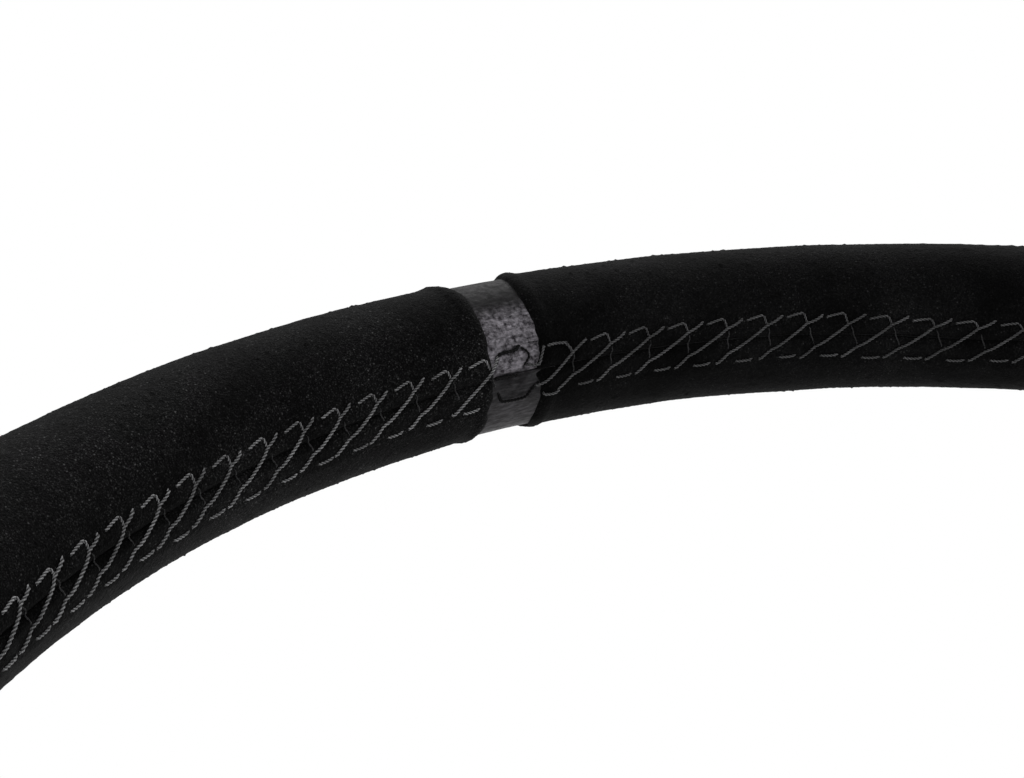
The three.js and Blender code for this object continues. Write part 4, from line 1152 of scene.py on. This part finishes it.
collar = spin("quick_release_collar", rounded(COLLAR_PROFILE, 0.35, 2), 216)
fingers = [polar(LIP_RADIUS + 2.75, 30 * (i + 0.5)) for i in range(12)]
carve(collar, [prism(circle(5, 40, centre), COLLAR_REAR - 1, 51.4) for centre in fingers])
knurl = [polar(COLLAR + 0.14, 4 * i) for i in range(90)]  # fine and straight
carve(collar, [prism(circle(0.42, 8, centre), 59.8, 67.6) for centre in knurl])
finish_piece(collar, "collar", "black_anodised", ANODISED, "release_collar")

# The circlip is a flat ring with a gap at the bottom.
circlip = np.vstack([arc(21.3, -69.5, 249.5, 120), arc(18.8, 249.5, -69.5, 120)])
snap_ring = joined("collar_snap_ring", [prism(circlip, 30.9, 32.1)])
finish_piece(snap_ring, "wheel", "spring_steel", SPRING_STEEL, "collar_circlip")

for i in range(6):
    half_circle = [(BALL * math.sin(a), BALL_PLANE - BALL * math.cos(a)) for a in np.linspace(0, math.pi, 34)]
    half_circle[0], half_circle[-1] = (0, BALL_PLANE - BALL), (0, BALL_PLANE + BALL)
    ball = spin_capped(f"ball_{i + 1}_steel", half_circle, 48, 60)
    x, z = polar(BALL_FREE / 1000, 60 * i)
    ball.data.transform(Matrix.Translation((x, 0, z)))
    finish_piece(ball, f"ball_{i + 1}", "ball_steel", BALL_STEEL, f"lock_ball_{i + 1}")

# ---------------------------------------------------------------- spindle
SOCKET, SOCKET_END, NOSE_BORE = 10.1, 22, 4
SPINDLE_FLANGE = 29  # its front, where the journal starts
half_arc = math.degrees(1.02)
groove = arc(BALL_POCKET, 180 + half_arc, 180 - half_arc, 15, (15.9, BALL_PLANE))
SPINDLE_PROFILE = [
    (SOCKET, 0.6), (10.7, 0), (15.5, 0), (16.1, 0.6), (16.1, 23.9), (18.8, 25), (19.8, 26), (19.8, 28.8),
    (19.6, SPINDLE_FLANGE), (JOURNAL, SPINDLE_FLANGE), (JOURNAL, 42.9), *groove, (JOURNAL, 49.3),
    (JOURNAL, 51.9), (12.2, 51.9), (12.2, 54.1), (JOURNAL, 54.1), (JOURNAL, 54.6), (12.5, NOSE),
    (NOSE_BORE, NOSE), (NOSE_BORE, SOCKET_END), (SOCKET, SOCKET_END),
]
spindle = spin("splined_spindle", rounded(SPINDLE_PROFILE, 0.2, 2), 180)
teeth = joined("teeth", [prism(spline_star(SPLINE_MINOR, SPLINE_MAJOR), SPINDLE_FLANGE - 0.5, 41)])
carve(teeth, [prism(circle(12.5, 96), 28, 42)])
merge(spindle, teeth, "UNION")
carve(spindle, [radial_rod(3.0, 9.6, 17.2, GRUB_PLANE, angle) for angle in GRUBS])
finish_piece(spindle, "column", "spindle_steel", STEEL, "spindle")

nose_ring = spin("nose_ring", arc(0.8, 0, 360, 20, (13.3, 53.0))[:-1], 120, 80)
finish_piece(nose_ring, "column", "o_ring_rubber", RUBBER, "nose_o_ring")

GRUB_RADIUS, THREAD_DEPTH, THREAD_TURNS, GRUB_ROWS = 2.68, 0.32, 5, 22
GRUB_NEAR, GRUB_FAR = 10.45, 15.75  # from the axis
turns = 2 * math.pi * THREAD_TURNS * np.arange(GRUB_ROWS + 1) / GRUB_ROWS
depths = THREAD_DEPTH * (0.5 + 0.5 * np.cos(turns))
depths[[0, -1]] = 0.4  # The two ends taper.
for index, angle in enumerate(GRUBS):
    rings = list(zip(GRUB_RADIUS - depths, np.linspace(GRUB_NEAR, GRUB_FAR, GRUB_ROWS + 1)))
    points, faces = socket_screw(rings, (1.5, 15.6, 13.4), 36)
    points = on_radial_line(points[:, [2, 0, 1]], GRUB_PLANE, angle)
    grub = joined(f"grub_screw_{index + 1}", [(points, faces)])
    finish_piece(grub, "column", "black_screw_steel", BLACK_STEEL, f"shaft_grub_screw_{index + 1}")

# The contacts and terminals keep their solids, with their edges broken.
for name in ("horn_fixed_contact", "horn_moving_contact", "horn_terminal_live", "horn_terminal_return"):
    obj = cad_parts[name]
    obj.data.materials.clear()
    obj.data.materials.append(BRASS)
    edge = obj.modifiers.new("edge", "BEVEL")
    edge.width, edge.segments, edge.limit_method = 0.00012, 2, "ANGLE"

# ---------------------------------------------------------------- camera, floor and light
# The camera is low on the driver's side, looks up along the grip's top and is rolled over.
CAMERA_PLACE = Vector((-137.6, -216.8, -79.9)) / 1000
CAMERA_AIM = Vector((-3.35, -114.0, 143.25)) / 1000
CAMERA_ROLL = 58.9
FLOOR_HALF = 8
FLOOR_HEIGHT = -(RIM + GRIP + 1.0) / 1000

scene = bpy.context.scene
scene.view_settings.view_transform = "Standard"
camera = bpy.data.objects.new("camera", bpy.data.cameras.new("camera"))
scene.collection.objects.link(camera)
camera.data.sensor_width = 36
camera.data.lens = 55.2
camera.data.clip_start = 0.005
looking = (CAMERA_AIM - CAMERA_PLACE).to_track_quat("-Z", "Y").to_matrix().to_4x4()
roll = Matrix.Rotation(math.radians(-CAMERA_ROLL), 4, "Z")
camera.matrix_world = Matrix.Translation(CAMERA_PLACE) @ looking @ roll
scene.camera = camera

floor_mesh = bpy.data.meshes.new("floor")
corners = [(x * FLOOR_HALF, y * FLOOR_HALF, FLOOR_HEIGHT) for x, y in ((-1, -1), (1, -1), (1, 1), (-1, 1))]
floor_mesh.from_pydata(corners, [], [(0, 1, 2, 3)])
floor = bpy.data.objects.new("floor", floor_mesh)
scene.collection.objects.link(floor)
paint = Material("floor_paint", (0.8, 0.8, 0.8), 0.9)
paint.put(paint.ramp(paint.noise(3.0), 0.79, 0.81), paint.shader.inputs["Base Color"])
floor_mesh.materials.append(paint.data)

# The camera sees a white backdrop, and the object is lit by a dimmer one.
world = bpy.data.worlds.new("studio")
scene.world = world
world.use_nodes = True
studio = world.node_tree
choose = add_node(studio, "ShaderNodeMixShader")
path = add_node(studio, "ShaderNodeLightPath")
studio.links.new(path.outputs["Is Camera Ray"], choose.inputs[0])
for index, strength in ((1, 0.6), (2, 1.0)):
    sky = add_node(studio, "ShaderNodeBackground", Color=(1, 1, 1, 1), Strength=strength)
    studio.links.new(sky.outputs[0], choose.inputs[index])
studio.links.new(choose.outputs[0], studio.nodes["World Output"].inputs[0])


def soft_light(name, place, strength, spread):
    """A broad, even light that shines from a place, in metres from the axis, towards the wheel's rim."""
    lamp = bpy.data.lights.new(name, "SUN")
    lamp.energy, lamp.angle = strength, math.radians(spread)
    obj = bpy.data.objects.new(name, lamp)
    scene.collection.objects.link(obj)
    obj.location = place
    shining = Vector((0, -PLANE / 1000, 0.15)) - Vector(place)
    obj.rotation_euler = shining.to_track_quat("-Z", "Y").to_euler()


soft_light("key_light", (0.9, -1.0, 1.5), 2.0, 36)
soft_light("side_light", (-1.4, -0.6, 1.2), 0.5, 32)
soft_light("back_light", (0.8, 1.4, 1.3), 0.75, 34)
